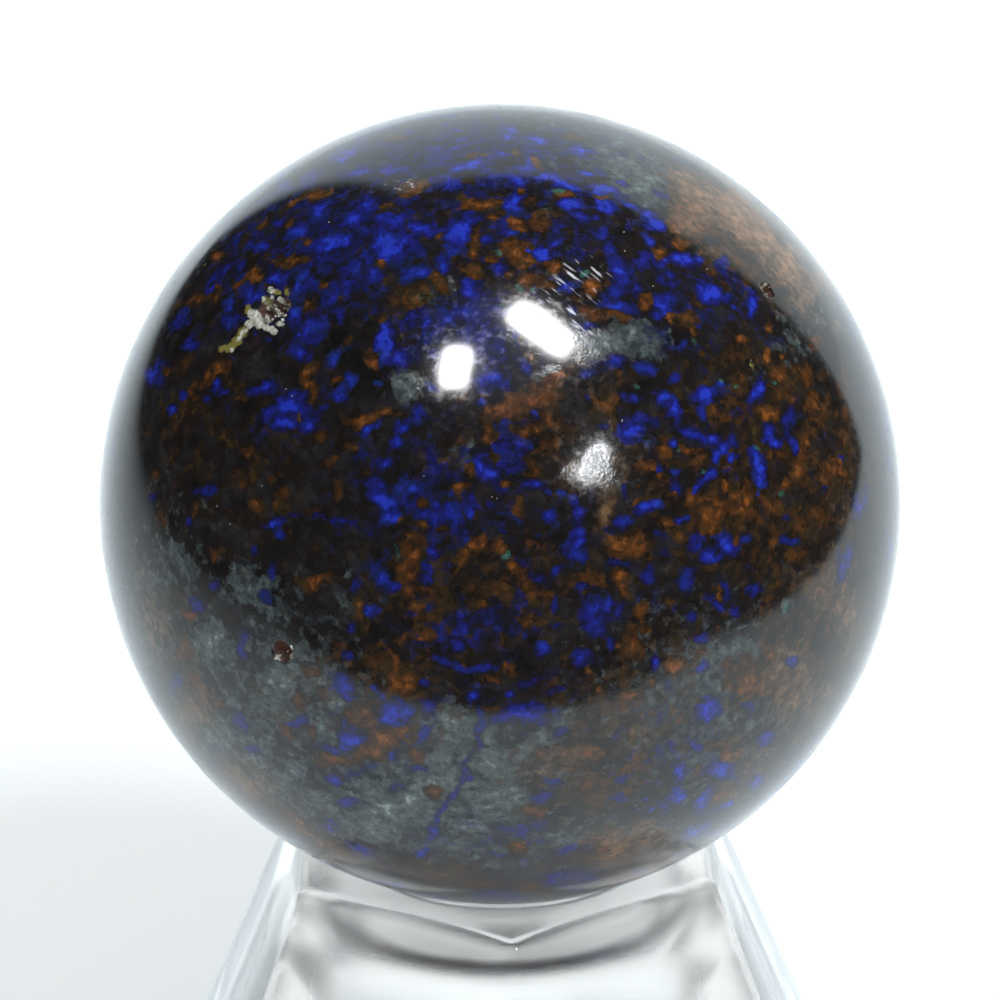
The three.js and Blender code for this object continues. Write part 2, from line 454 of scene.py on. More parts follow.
BLUE_MIDDLE = [
    (417, 417, 17, 20, 20, 1.3), (402, 425, 12, 14, 0, 1.3), (398, 441, 18, 12, 20, 1.2),
    (484, 404, 15, 9, 20, 1.3), (432, 387, 22, 12, -10, 1.0), (390, 462, 10, 9, 0, 1.1),
    (482, 462, 10, 13, 0, 1.5), (489, 473, 15, 12, -30, 1.5), (498, 444, 11, 9, 0, 1.1),
    (415, 491, 12, 15, 0, 1.1), (404, 489, 10, 14, 0, 1.1), (421, 519, 14, 10, 0, 1.4),
    (449, 513, 26, 16, 0, 1.35), (461, 522, 10, 8, 0, 1.2), (473, 511, 11, 10, 0, 1.4),
    (476, 500, 9, 8, 0, 1.1), (435, 520, 20, 12, 0, 1.0), (408, 505, 20, 22, 0, 0.85),
    (534, 487, 22, 13, 15, 1.3), (546, 493, 12, 8, -20, 1.3), (547, 514, 11, 11, 0, 1.35),
    (502, 530, 9, 7, 0, 1.0), (536, 532, 8, 7, 0, 1.0), (573, 503, 10, 20, 0, 1.15),
    (575, 517, 15, 12, 10, 1.4), (575, 545, 22, 36, 5, 1.1), (562, 492, 11, 8, 0, 1.1),
    (578, 560, 20, 14, 0, 1.0), (509, 450, 36, 56, 0, 0.72), (476, 619, 70, 46, -8, 0.72),
    (540, 575, 24, 22, 0, 0.74), (560, 569, 12, 9, 0, 1.0), (432, 552, 11, 9, 0, 1.5),
    (427, 565, 12, 12, 0, 1.0), (443, 560, 20, 16, 0, 0.75), (425, 580, 10, 18, 0, 1.0),
    (383, 583, 16, 16, 0, 1.0), (397, 586, 12, 14, -30, 1.1), (368, 614, 12, 10, 0, 1.1),
    (552, 606, 12, 11, 0, 1.1), (553, 624, 11, 9, 0, 1.1), (597, 614, 34, 30, 20, 1.0),
    (612, 604, 14, 12, 0, 1.1), (459, 641, 13, 14, 20, 1.2), (413, 613, 22, 8, 0, 0.85),
    (622, 521, 16, 10, 0, 1.1), (626, 489, 8, 15, 0, 1.1), (620, 565, 23, 7, 0, 1.0),
    (543, 651, 13, 11, 10, 1.3), (581, 660, 28, 18, 40, 1.1), (597, 624, 26, 12, 0, 1.0),
    (524, 446, 14, 10, 0, 1.0), (437, 480, 14, 10, 0, 0.75), (534, 411, 10, 12, 0, 0.8),
    (589, 399, 9, 9, 0, 1.0), (600, 424, 14, 10, 0, 0.8), (516, 395, 30, 14, -10, 0.75),
    (496, 424, 16, 8, 0, 0.75), (511, 420, 18, 9, 0, 0.9), (584, 585, 14, 9, 0, 0.9),
]
BLUE_RIGHT = [
    (708, 393, 23, 14, 12, 1.5), (754, 389, 22, 10, 75, 1.5), (666, 400, 12, 12, 0, 1.5),
    (676, 411, 9, 17, 0, 1.6), (668, 417, 12, 6, 0, 1.2), (634, 431, 22, 19, 0, 1.45),
    (634, 400, 20, 8, 0, 1.3), (647, 421, 18, 14, 0, 0.9), (677, 381, 13, 12, 0, 0.85),
    (693, 433, 24, 9, -15, 1.2), (712, 436, 18, 11, 0, 1.3), (735, 438, 16, 9, -60, 1.3),
    (727, 447, 11, 20, 0, 1.1), (716, 458, 8, 15, 0, 1.2), (735, 458, 11, 10, 0, 1.1),
    (700, 410, 9, 13, 0, 0.9), (674, 444, 7, 7, 0, 1.3), (768, 433, 22, 10, -70, 1.5),
    (774, 442, 12, 10, -40, 1.4), (787, 420, 34, 9, 85, 0.95), (791, 446, 18, 10, -80, 1.1),
    (756, 464, 11, 26, 0, 1.5), (754, 478, 14, 10, 0, 1.5), (756, 491, 5, 10, 0, 1.0),
    (840, 462, 8, 8, 0, 1.2), (828, 486, 9, 8, 0, 0.9), (661, 468, 8, 7, 0, 1.3),
    (672, 485, 14, 14, 0, 1.0), (672, 471, 9, 7, 0, 1.1), (708, 481, 19, 9, 40, 1.3),
    (699, 489, 10, 8, 40, 1.1), (653, 509, 20, 13, 35, 1.4), (626, 521, 18, 12, 0, 1.1),
    (683, 518, 7, 6, 0, 1.3), (714, 557, 19, 16, 0, 1.4), (729, 548, 22, 15, 0, 1.1),
    (724, 541, 12, 10, 0, 1.0), (747, 539, 12, 8, 0, 0.9), (792, 542, 15, 8, 0, 1.2),
    (651, 577, 13, 13, 0, 1.0), (685, 581, 15, 24, 10, 1.1), (688, 573, 18, 10, 0, 1.1),
    (726, 594, 7, 15, 0, 1.1), (716, 605, 16, 9, -25, 1.1), (691, 617, 6, 9, 0, 1.1),
    (615, 638, 16, 14, 0, 0.8), (752, 592, 10, 8, 0, 0.95), (737, 607, 10, 9, 0, 0.95),
    (859, 504, 9, 28, -10, 1.0), (701, 638, 14, 9, 0, 0.95), (653, 664, 10, 13, 0, 1.3),
    (794, 661, 9, 10, 0, 1.1), (846, 560, 12, 40, -15, 0.7), (784, 517, 11, 9, 0, 0.75),
    (718, 380, 9, 7, 0, 0.9), (701, 536, 30, 16, 25, 0.75), (658, 534, 14, 10, 0, 0.7),
    (703, 665, 14, 10, 0, 1.1), (620, 400, 9, 7, 0, 1.0),
]
BLUE_LOW = [
    (347, 691, 25, 14, -50, 1.4), (389, 711, 24, 26, -15, 1.5), (404, 713, 16, 12, 0, 1.4),
    (340, 723, 8, 9, 0, 1.3), (349, 739, 25, 15, 10, 1.4), (330, 750, 18, 11, 0, 0.95),
    (334, 779, 15, 8, -20, 1.1), (349, 800, 26, 12, 0, 1.0), (395, 788, 18, 14, 0, 0.9),
    (380, 691, 10, 9, 0, 1.2), (240, 721, 24, 12, -60, 0.85), (294, 721, 18, 9, 0, 0.95),
    (250, 748, 20, 8, -15, 1.0), (215, 752, 12, 8, 0, 0.8), (177, 683, 34, 11, 75, 0.8),
    (332, 825, 20, 14, -20, 0.85), (362, 850, 24, 12, -15, 0.95), (427, 712, 14, 20, 0, 0.95),
    (423, 735, 14, 13, 0, 1.0), (448, 659, 36, 12, -12, 1.15), (480, 668, 34, 10, -4, 1.1),
    (530, 683, 28, 11, 8, 1.1), (505, 693, 12, 8, 10, 1.2), (475, 698, 9, 9, 0, 1.5),
    (423, 685, 11, 10, 0, 0.95), (522, 708, 48, 7, 0, 1.15), (516, 717, 56, 13, 0, 1.25),
    (421, 853, 14, 9, 0, 1.3), (415, 765, 24, 8, 0, 0.95), (427, 832, 11, 22, 0, 0.85),
    (562, 731, 14, 10, 0, 1.2), (549, 783, 20, 10, 0, 0.95), (541, 797, 24, 13, 0, 0.85),
    (624, 781, 10, 12, 0, 0.95), (528, 828, 60, 15, 0, 0.7), (574, 849, 56, 16, 5, 0.7),
    (560, 878, 80, 16, 8, 0.85), (707, 707, 30, 21, 10, 1.25), (748, 704, 9, 10, 0, 1.3),
    (765, 741, 13, 22, -30, 1.0), (671, 750, 16, 12, 0, 1.0), (696, 746, 12, 8, 0, 1.1),
    (722, 771, 32, 19, 0, 1.25), (680, 773, 10, 20, -10, 1.4), (676, 794, 14, 20, 0, 1.4),
    (703, 800, 26, 12, 65, 1.35), (646, 796, 7, 7, 0, 1.2), (650, 809, 12, 7, 0, 1.2),
    (724, 807, 16, 9, 30, 1.4), (696, 832, 34, 11, 25, 1.3), (759, 781, 16, 18, 40, 1.1),
    (623, 779, 10, 9, 0, 0.9), (615, 798, 14, 12, 0, 0.9), (641, 762, 12, 10, 0, 0.8),
    (484, 846, 30, 10, 0, 0.7), (500, 895, 70, 12, -4, 0.8), (650, 871, 40, 10, 15, 0.85),
    (560, 730, 16, 8, 0, 0.9),
]
BLUE_LOW_VEINS = [
    [(351, 778), (366, 770), (384, 762), (405, 754)],
    [(480, 708), (481, 728), (478, 748), (465, 763)],
    [(464, 763), (463, 786), (452, 804), (438, 818), (427, 834)],
]
TOP_GROWTH = 1.22
SIDE_GROWTH = 1.08
LOW_SHARE = 0.88

low_blue = BLUE_MIDDLE + BLUE_LOW + vein(BLUE_VEIN, 5, 0.9)
for line in BLUE_LOW_VEINS:
    low_blue = low_blue + vein(line, 7, 0.9)
low_blue = [(*spot[:5], spot[5] * LOW_SHARE) for spot in low_blue]
blue = np.maximum(spot_field(BLUE_TOP_LEFT + BLUE_TOP, growth=TOP_GROWTH),
                  spot_field(BLUE_LEFT + BLUE_RIGHT, growth=SIDE_GROWTH))
blue = np.maximum(blue, spot_field(BLUE_TOP_RIGHT + low_blue))
print("azurite, share of corners", round(float((blue > 0.5).mean()), 3))

# %% [markdown]
# The iron ore is rust-orange where it is strongest and dull brown where it is weak. Near the top right it
# is spread thin, as a pinkish tan cloud.

# %% Rust and brown iron ore
RUST_TOP_LEFT = [
    (314, 195, 28, 9, 20, 1.3), (293, 205, 16, 6, 25, 1.1), (289, 224, 10, 8, 0, 1.1),
    (293, 260, 42, 15, 8, 0.85), (253, 279, 24, 12, 20, 1.3), (238, 287, 13, 9, 20, 1.1),
    (217, 256, 12, 10, 50, 1.2), (201, 299, 40, 11, 17, 1.0), (217, 287, 10, 6, 0, 1.0),
    (284, 289, 11, 11, 0, 0.8), (309, 306, 19, 10, 35, 1.0), (322, 283, 6, 12, 0, 1.2),
    (377, 260, 11, 6, 70, 1.3), (395, 299, 12, 11, 0, 1.0), (381, 323, 12, 10, 0, 0.8),
    (331, 323, 8, 6, 0, 1.0), (222, 366, 18, 17, 45, 1.2), (211, 373, 11, 10, 0, 1.1),
    (184, 365, 28, 18, 20, 0.7), (167, 377, 10, 8, 0, 0.9), (196, 385, 18, 10, 40, 1.1),
    (307, 372, 24, 11, 60, 0.95), (375, 360, 10, 14, 0, 1.1), (333, 383, 10, 7, 0, 1.1),
    (307, 241, 10, 7, 0, 1.1), (263, 223, 12, 6, 30, 0.9), (345, 338, 10, 8, 0, 0.7),
    (398, 330, 14, 10, 0, 0.7),
]
RUST_TOP = [
    (415, 189, 30, 11, 20, 1.5), (386, 205, 9, 6, 0, 1.1), (482, 205, 46, 12, 8, 1.2),
    (505, 212, 14, 6, 0, 1.1), (497, 220, 11, 8, 0, 1.2), (518, 226, 16, 20, 0, 1.0),
    (539, 222, 38, 34, 0, 0.72), (519, 193, 12, 6, -10, 1.2), (530, 203, 12, 6, 0, 1.1),
    (566, 194, 18, 8, -5, 1.4), (606, 199, 12, 6, -10, 1.3), (587, 199, 10, 7, 0, 0.9),
    (476, 241, 8, 22, 12, 1.3), (477, 252, 8, 9, 0, 1.2), (441, 235, 9, 7, 0, 1.0),
    (516, 252, 28, 22, -15, 1.2), (526, 260, 16, 14, 0, 1.0), (476, 270, 19, 9, -20, 1.3),
    (488, 260, 12, 6, 0, 1.2), (509, 273, 12, 10, 0, 1.1), (532, 283, 24, 12, 10, 1.3),
    (558, 266, 13, 13, 20, 1.4), (546, 264, 10, 9, 0, 1.2), (551, 285, 16, 12, -30, 1.3),
    (587, 289, 12, 13, -30, 1.4), (576, 299, 12, 8, -30, 1.1), (433, 281, 18, 22, 20, 1.2),
    (442, 293, 16, 10, 0, 1.2), (409, 298, 38, 18, 10, 1.0), (379, 262, 7, 13, 10, 1.1),
    (599, 312, 40, 13, -12, 1.1), (623, 320, 14, 10, 0, 1.1), (643, 304, 13, 15, 0, 1.1),
    (423, 237, 40, 7, -5, 0.75), (375, 357, 9, 20, 0, 0.9), (522, 335, 9, 10, 0, 1.0),
    (534, 358, 12, 8, -30, 1.1), (560, 379, 24, 10, 15, 1.3), (537, 383, 14, 10, 0, 1.1),
    (463, 196, 16, 12, 0, 0.8), (475, 154, 18, 7, 5, 0.9), (486, 156, 14, 6, 0, 1.0),
    (514, 152, 16, 10, 0, 1.2), (535, 163, 16, 8, -20, 1.2), (410, 155, 20, 8, 0, 0.8),
    (396, 137, 24, 6, 8, 0.8), (452, 140, 20, 6, 0, 0.7), (575, 140, 26, 8, -10, 0.7),
]
RUST_TOP_RIGHT = [
    (688, 212, 32, 54, 10, 1.3), (679, 224, 24, 22, 0, 1.2), (700, 228, 20, 26, 0, 1.1),
    (734, 197, 50, 32, -35, 1.2), (752, 215, 40, 26, -45, 1.1), (724, 180, 30, 16, -30, 1.0),
    (682, 243, 22, 10, -15, 1.5), (661, 254, 18, 11, -20, 1.6), (703, 249, 13, 4, -40, 1.2),
    (732, 224, 16, 12, -40, 1.3), (747, 235, 20, 11, -20, 1.2), (747, 264, 12, 7, 0, 1.2),
    (764, 266, 10, 12, 0, 1.1), (775, 240, 34, 20, -40, 1.0), (791, 258, 34, 30, -50, 1.05),
    (820, 281, 30, 18, -50, 1.0), (763, 289, 10, 12, 0, 0.9), (646, 302, 16, 12, 60, 1.1),
    (673, 316, 8, 9, -40, 1.3), (690, 321, 28, 18, 0, 0.75), (696, 333, 7, 8, 0, 1.3),
    (619, 318, 26, 9, -5, 1.1), (742, 336, 13, 7, -5, 1.2), (770, 327, 8, 9, 0, 1.3),
    (763, 350, 8, 12, 0, 1.5), (780, 354, 8, 8, 0, 1.2), (816, 343, 12, 12, 0, 1.3),
    (705, 356, 8, 8, 0, 1.2), (779, 373, 20, 15, 0, 1.3), (803, 375, 18, 20, -20, 1.2),
    (824, 377, 16, 14, 0, 0.8), (704, 300, 40, 20, 0, 0.55), (733, 350, 50, 40, 0, 0.55),
    (620, 202, 8, 5, 0, 0.9),
]
RUST_LEFT = [
    (217, 374, 26, 10, 25, 1.2), (166, 374, 10, 12, 0, 1.0), (307, 388, 24, 8, -55, 1.2),
    (332, 382, 9, 7, 0, 1.0), (301, 417, 7, 12, 0, 1.4), (321, 433, 17, 9, 0, 0.95),
    (361, 421, 34, 13, 20, 1.35), (386, 414, 13, 6, 10, 1.3), (353, 450, 21, 7, -15, 1.0),
    (332, 459, 12, 17, 0, 0.95), (247, 454, 20, 10, 60, 1.15), (219, 439, 7, 9, 0, 1.0),
    (240, 487, 7, 12, 10, 1.1), (256, 503, 13, 9, 0, 1.1), (279, 494, 22, 16, 0, 0.95),
    (271, 473, 24, 18, 0, 0.62), (334, 490, 8, 16, 0, 1.0), (370, 472, 8, 10, 0, 1.0),
    (315, 577, 28, 14, 22, 1.35), (307, 586, 10, 12, 0, 1.0), (196, 512, 8, 18, 0, 1.0),
    (156, 471, 9, 9, 0, 1.0), (187, 469, 8, 8, 0, 0.9), (215, 557, 9, 10, 0, 0.95),
    (315, 545, 9, 16, 0, 0.7), (357, 606, 10, 18, 0, 0.95), (357, 620, 8, 8, 0, 1.0),
    (189, 613, 14, 12, 0, 0.95), (171, 628, 12, 14, 0, 0.8), (242, 400, 20, 10, 0, 0.62),
    (190, 412, 60, 60, 0, 0.5), (310, 512, 60, 16, 0, 0.6), (196, 398, 12, 8, 0, 0.95),
    (165, 413, 8, 20, 0, 0.7), (159, 523, 14, 20, 20, 0.8), (333, 660, 30, 12, -30, 0.5),
    (221, 417, 12, 12, 0, 0.6), (250, 480, 18, 30, 0, 0.6),
]
RUST_MIDDLE = [
    (484, 427, 20, 15, -40, 1.1), (488, 436, 10, 13, 0, 1.4), (511, 410, 38, 18, 10, 1.35),
    (538, 396, 36, 18, 25, 1.35), (560, 381, 20, 10, 40, 1.4), (533, 428, 11, 16, -20, 1.4),
    (545, 415, 12, 14, 0, 1.2), (548, 445, 30, 30, 0, 0.72), (531, 459, 9, 22, 0, 1.1),
    (529, 475, 18, 8, 0, 1.2), (603, 403, 16, 14, 30, 1.3), (606, 410, 12, 8, 0, 1.2),
    (500, 489, 9, 9, 0, 1.5), (461, 491, 24, 16, 20, 1.05), (470, 470, 8, 13, 0, 1.3),
    (423, 508, 10, 10, 0, 1.2), (396, 521, 10, 9, 0, 0.95), (504, 475, 7, 6, 0, 1.1),
    (516, 507, 11, 7, 0, 1.0), (411, 560, 22, 34, 0, 1.25), (414, 541, 14, 14, 0, 1.2),
    (407, 572, 14, 16, 0, 1.1), (412, 592, 16, 14, 0, 1.0), (421, 608, 12, 10, 0, 0.9),
    (470, 550, 34, 14, 20, 1.2), (480, 544, 12, 12, 0, 1.35), (458, 565, 26, 8, 40, 1.1),
    (503, 549, 14, 12, 0, 1.2), (514, 572, 12, 30, 25, 1.15), (527, 588, 24, 16, -35, 1.15),
    (545, 596, 14, 8, -25, 1.0), (470, 588, 22, 9, -10, 0.95), (588, 577, 18, 20, 40, 1.05),
    (624, 549, 28, 24, 0, 1.3), (616, 545, 12, 12, 0, 1.0), (623, 577, 22, 14, 0, 1.2),
    (628, 590, 9, 13, 0, 1.5), (606, 583, 12, 10, 0, 1.2), (527, 624, 34, 22, 0, 0.8),
    (490, 605, 10, 10, 0, 0.8), (633, 613, 14, 22, 0, 1.0), (643, 485, 7, 7, 0, 1.5),
    (642, 503, 9, 9, 0, 1.3), (427, 635, 22, 8, 15, 1.2), (405, 638, 20, 9, 20, 1.2),
    (389, 650, 12, 18, 30, 1.0), (396, 668, 9, 26, 5, 1.2), (402, 685, 28, 17, -5, 1.4),
    (378, 655, 24, 30, 0, 0.8), (440, 470, 50, 36, 0, 0.5), (606, 513, 26, 64, 5, 0.66),
    (560, 460, 30, 30, 0, 0.55), (584, 652, 12, 24, 0, 0.5), (591, 672, 9, 10, 0, 1.0),
    (597, 695, 11, 14, 0, 1.2), (634, 647, 22, 32, 10, 0.95), (505, 668, 9, 8, 0, 1.0),
    (518, 670, 10, 8, 0, 1.1), (490, 681, 30, 8, 0, 0.8), (488, 707, 11, 7, 0, 1.0),
    (440, 590, 20, 14, 0, 0.6), (424, 527, 14, 6, 0, 0.9), (443, 527, 14, 5, 0, 1.0),
    (462, 397, 26, 12, 0, 0.55),
]
RUST_RIGHT = [
    (609, 405, 12, 18, 20, 1.3), (768, 414, 26, 13, 10, 1.35), (815, 406, 28, 20, -30, 0.95),
    (729, 402, 12, 12, 0, 1.2), (712, 408, 20, 10, 0, 0.8), (808, 441, 7, 11, 0, 1.2),
    (798, 462, 20, 42, 0, 1.1), (834, 472, 38, 28, 0, 1.05), (785, 484, 14, 16, 0, 1.1),
    (723, 483, 12, 13, 0, 1.4), (691, 451, 24, 10, 0, 1.3), (699, 461, 20, 11, 0, 1.2),
    (649, 463, 28, 11, 0, 1.0), (665, 452, 16, 10, 0, 1.0), (660, 473, 6, 6, 0, 1.5),
    (693, 494, 14, 18, 0, 1.1), (672, 494, 8, 8, 0, 1.4), (714, 512, 34, 30, 0, 1.3),
    (744, 500, 20, 24, 0, 1.25), (739, 514, 16, 12, 0, 1.1), (730, 495, 16, 10, 0, 1.1),
    (773, 504, 24, 22, 0, 0.8), (668, 521, 20, 10, 0, 1.2), (682, 531, 18, 11, 0, 1.2),
    (710, 531, 30, 12, 15, 1.1), (737, 541, 8, 7, 0, 1.4), (775, 540, 12, 12, 0, 1.0),
    (634, 547, 30, 22, 0, 1.3), (628, 590, 10, 14, 0, 1.4), (718, 597, 11, 5, -40, 1.2),
    (643, 628, 16, 12, 0, 0.9), (668, 603, 12, 10, 0, 0.8), (634, 647, 20, 28, 10, 0.95),
    (821, 512, 22, 24, 30, 1.0), (796, 556, 22, 16, 20, 1.05), (825, 582, 30, 44, 20, 0.75),
    (670, 663, 14, 18, 0, 1.1), (779, 392, 40, 22, 0, 0.7), (846, 440, 14, 30, 0, 0.7),
    (780, 450, 18, 30, 0, 0.75), (800, 520, 30, 30, 0, 0.75), (660, 440, 16, 12, 0, 0.7),
    (742, 424, 12, 10, 0, 0.9), (755, 520, 24, 16, 0, 0.8), (652, 560, 12, 12, 0, 0.8),
    (680, 548, 20, 9, 0, 0.8), (812, 430, 40, 40, 0, 0.62), (848, 412, 10, 22, -10, 0.8),
    (772, 585, 20, 14, 20, 0.8), (845, 385, 14, 30, -10, 0.9), (858, 620, 20, 40, 20, 0.6),
]
RUST_LOW = [
    (313, 674, 16, 12, 0, 1.1), (299, 700, 12, 24, 0, 1.1), (357, 716, 28, 20, 0, 1.15),
    (378, 742, 46, 34, 10, 1.3), (336, 762, 32, 10, -10, 1.25), (288, 729, 14, 14, 0, 1.0),
    (309, 733, 12, 16, 0, 1.0), (200, 693, 40, 18, -60, 1.05), (183, 649, 28, 11, -80, 1.0),
    (217, 707, 14, 12, 0, 1.0), (226, 786, 32, 12, -38, 1.15), (252, 797, 18, 10, -30, 1.0),
    (202, 760, 16, 9, -50, 0.9), (301, 823, 50, 11, -30, 1.1), (324, 842, 32, 9, -22, 1.15),
    (419, 754, 18, 10, 0, 1.1), (435, 792, 16, 13, -10, 1.4), (585, 754, 30, 26, 0, 0.85),
    (536, 811, 22, 24, 0, 1.05), (518, 846, 20, 15, 0, 1.15), (612, 843, 44, 26, 15, 1.25),
    (606, 858, 40, 9, 8, 1.2), (526, 886, 16, 14, 0, 1.0), (474, 884, 50, 12, 0, 0.7),
    (624, 695, 13, 16, 0, 1.1), (633, 735, 10, 14, 0, 0.9), (675, 664, 16, 18, -30, 1.15),
    (652, 687, 10, 11, 0, 1.3), (631, 697, 16, 11, 0, 1.1), (749, 683, 46, 42, 0, 0.95),
    (770, 649, 15, 26, 0, 1.05), (734, 754, 15, 16, 0, 1.2), (724, 742, 36, 10, 10, 0.9),
    (700, 769, 8, 14, 0, 1.1), (640, 762, 16, 30, 0, 0.9), (722, 796, 20, 13, 40, 1.1),
    (667, 731, 14, 10, 0, 0.9), (715, 630, 8, 10, 0, 1.1), (790, 690, 30, 40, 20, 0.7),
    (805, 740, 24, 24, 30, 0.7), (326, 846, 40, 8, -20, 0.9), (412, 740, 12, 10, 0, 0.9),
    (450, 870, 40, 10, 0, 0.6), (595, 730, 50, 40, 0, 0.58), (590, 790, 60, 40, 0, 0.58),
    (400, 727, 14, 10, 0, 0.9), (700, 700, 90, 60, 0, 0.4), (180, 600, 30, 40, 0, 0.5),
    (250, 690, 20, 40, -20, 0.4), (770, 610, 40, 30, 20, 0.6),
]
rust_spots = RUST_TOP_LEFT + RUST_TOP + RUST_TOP_RIGHT + RUST_LEFT + RUST_MIDDLE + RUST_RIGHT + RUST_LOW
rust = spot_field(rust_spots)
print("iron ore spots", len(rust_spots), "share of corners", round(float((rust > 0.5).mean()), 3))

# %% [markdown]
# The silver-grey ore lies mostly low on the stone; its strong spots next to the lamp highlights carry a
# painted glint. Malachite and calcite are only small flecks, and the calcite lines the vug. Pale clay makes
# the tan clouds near the top right and a few olive-grey patches. Right of the large highlight fibre tips lie
# side by side and catch the lamp; here only their area is marked, and the material paints their glints as
# thin bright lines. The crystals and the single painted glint dots use the corners' true places, because a
# bend would break them.

# %% Silver ore, malachite, calcite, clay and painted fibre glints
GLINT_WIDE = 1.8
GLINT_STRENGTH = 0.85
# Silver ore; its strongest spots, next to the lamp highlights, are painted brighter there as a painted glint.
SILVER_AND_GLINT_SPOTS = [
    (453, 287, 8, 30, 10, 1.0), (455, 300, 8, 14, 0, 1.1), (604, 339, 38, 17, 0, 1.5),
    (597, 351, 20, 16, 0, 1.6), (549, 373, 18, 9, 0, 1.5), (585, 361, 9, 15, 0, 1.5),
    (636, 338, 60, 30, 0, 0.85), (405, 385, 30, 26, 0, 1.0), (407, 380, 14, 10, 0, 1.2),
    (211, 643, 42, 44, 0, 0.95), (217, 739, 30, 40, -20, 0.9), (278, 679, 34, 40, 10, 1.25),
    (320, 681, 34, 28, -20, 1.2), (340, 704, 24, 20, -20, 1.25), (324, 727, 24, 26, 0, 1.1),
    (297, 773, 17, 21, -20, 1.4), (273, 785, 60, 26, -30, 1.0), (234, 706, 12, 10, -20, 1.3),
    (255, 762, 24, 11, -25, 1.3), (372, 792, 28, 18, -10, 1.1), (389, 813, 48, 32, -10, 1.2),
    (320, 800, 44, 22, -20, 1.0), (405, 733, 12, 10, 0, 1.4), (453, 727, 42, 42, 0, 1.2),
    (442, 758, 20, 22, 0, 1.2), (432, 783, 48, 32, 25, 1.35), (413, 802, 38, 26, 30, 1.35),
    (381, 828, 50, 34, 0, 1.1), (497, 765, 48, 40, 0, 1.1), (497, 794, 58, 36, 0, 1.2),
    (472, 827, 32, 16, 0, 1.1), (492, 737, 18, 15, 0, 1.2), (545, 737, 24, 18, 0, 1.3),
    (566, 716, 24, 14, 10, 1.3), (526, 754, 28, 14, 20, 1.1), (559, 775, 32, 26, 0, 0.85),
    (643, 712, 12, 18, 0, 1.0), (484, 846, 80, 22, 0, 0.8), (659, 702, 40, 42, 0, 1.0),
    (722, 687, 24, 14, 0, 1.1), (741, 649, 40, 22, 10, 1.0), (726, 716, 16, 14, 0, 1.0),
    (688, 758, 26, 14, 0, 1.1), (665, 670, 18, 12, 0, 1.1), (700, 680, 90, 80, 0, 0.6),
    (640, 184, 60, 40, -30, 1.0), (620, 156, 80, 44, -25, 0.95), (566, 473, 16, 14, 20, 1.1),
    (600, 470, 30, 34, 30, 0.9), (463, 456, 30, 24, 0, 0.65), (250, 590, 60, 50, -30, 0.7),
    (180, 560, 60, 30, -60, 0.65), (715, 255, 60, 24, -25, 0.6), (450, 150, 60, 20, 5, 0.55),
    (370, 165, 60, 20, 15, 0.5), (812, 320, 16, 60, -40, 0.5), (753, 624, 22, 4, 20, 1.2),
    (785, 605, 8, 10, -20, 1.2), (350, 828, 60, 20, -20, 0.7), (500, 815, 60, 20, 0, 0.9),
    (690, 655, 70, 30, 20, 0.8),
]
MALACHITE_SPOTS = [
    (519, 289, 8, 7, 0, 1.3), (537, 291, 8, 6, 0, 1.2), (584, 274, 9, 7, -20, 1.2),
    (503, 301, 8, 7, 0, 1.1), (497, 253, 7, 6, 0, 1.0), (557, 191, 9, 6, 0, 1.0), (694, 341, 9, 7, 0, 0.9),
    (634, 385, 8, 6, 0, 1.0), (775, 381, 7, 6, 0, 1.1), (678, 452, 6, 8, 0, 1.0), (704, 474, 7, 5, 0, 1.0),
    (781, 491, 10, 7, -30, 1.0), (759, 450, 10, 6, 0, 1.0), (733, 381, 8, 6, 0, 1.0),
    (719, 377, 7, 6, 0, 1.0), (508, 555, 7, 6, 20, 1.1), (395, 552, 9, 8, 0, 0.7),
    (416, 298, 30, 12, 10, 0.50), (548, 210, 20, 16, 0, 0.60), (786, 606, 6, 9, -30, 1.0),
    (545, 735, 12, 10, 0, 0.6), (570, 712, 9, 8, 0, 0.6), (430, 300, 30, 20, 0, 0.45),
    (560, 280, 60, 40, 0, 0.36),
]
CALCITE_SPOTS = [
    (253, 314, 10, 9, 0, 1.4), (258, 321, 12, 12, -30, 1.5), (264, 325, 12, 6, -35, 1.4),
    (270, 329, 12, 6, -15, 1.3), (274, 332, 7, 6, -40, 1.2), (249, 324, 8, 9, -40, 1.2),
    (244, 331, 6, 12, -35, 0.9), (239, 339, 5, 10, -35, 0.8), (232, 350, 6, 6, -30, 0.9),
    (271, 290, 7, 6, 20, 1.2), (264, 300, 4, 7, 30, 1.0), (268, 303, 4, 4, 0, 1.0),
    (272, 297, 5, 4, 20, 0.9), (280, 299, 6, 5, -40, 1.1), (284, 305, 9, 4, -30, 1.3),
    (279, 309, 5, 6, 30, 1.2), (277, 314, 4, 5, 20, 1.0), (285, 315, 4, 3, 0, 1.0),
    (280, 324, 8, 5, -15, 1.2), (271, 317, 3, 3, 0, 0.8), (283, 320, 4, 3, 0, 0.9),
    (752, 361, 4, 4, 0, 0.9), (282, 643, 6, 4, 20, 0.8), (289, 658, 7, 6, 0, 1.1), (276, 658, 5, 5, 0, 0.8),
    (291, 648, 4, 6, 0, 0.8), (766, 284, 4, 4, 0, 0.8),
]
OLIVE_CALCITE_SPOTS = [
    (243, 332, 9, 14, -35, 1.2), (237, 341, 9, 12, -35, 1.2), (230, 347, 14, 8, 20, 1.2),
    (222, 349, 8, 7, 0, 1.1), (248, 310, 7, 11, 0, 1.1), (266, 301, 10, 10, 0, 1.0),
    (276, 292, 12, 6, -20, 1.0), (287, 292, 8, 10, 0, 0.8), (258, 326, 8, 8, 0, 0.8),
    (754, 431, 6, 9, 0, 0.62), (752, 366, 8, 10, 0, 0.7), (205, 265, 6, 4, 20, 0.7),
]
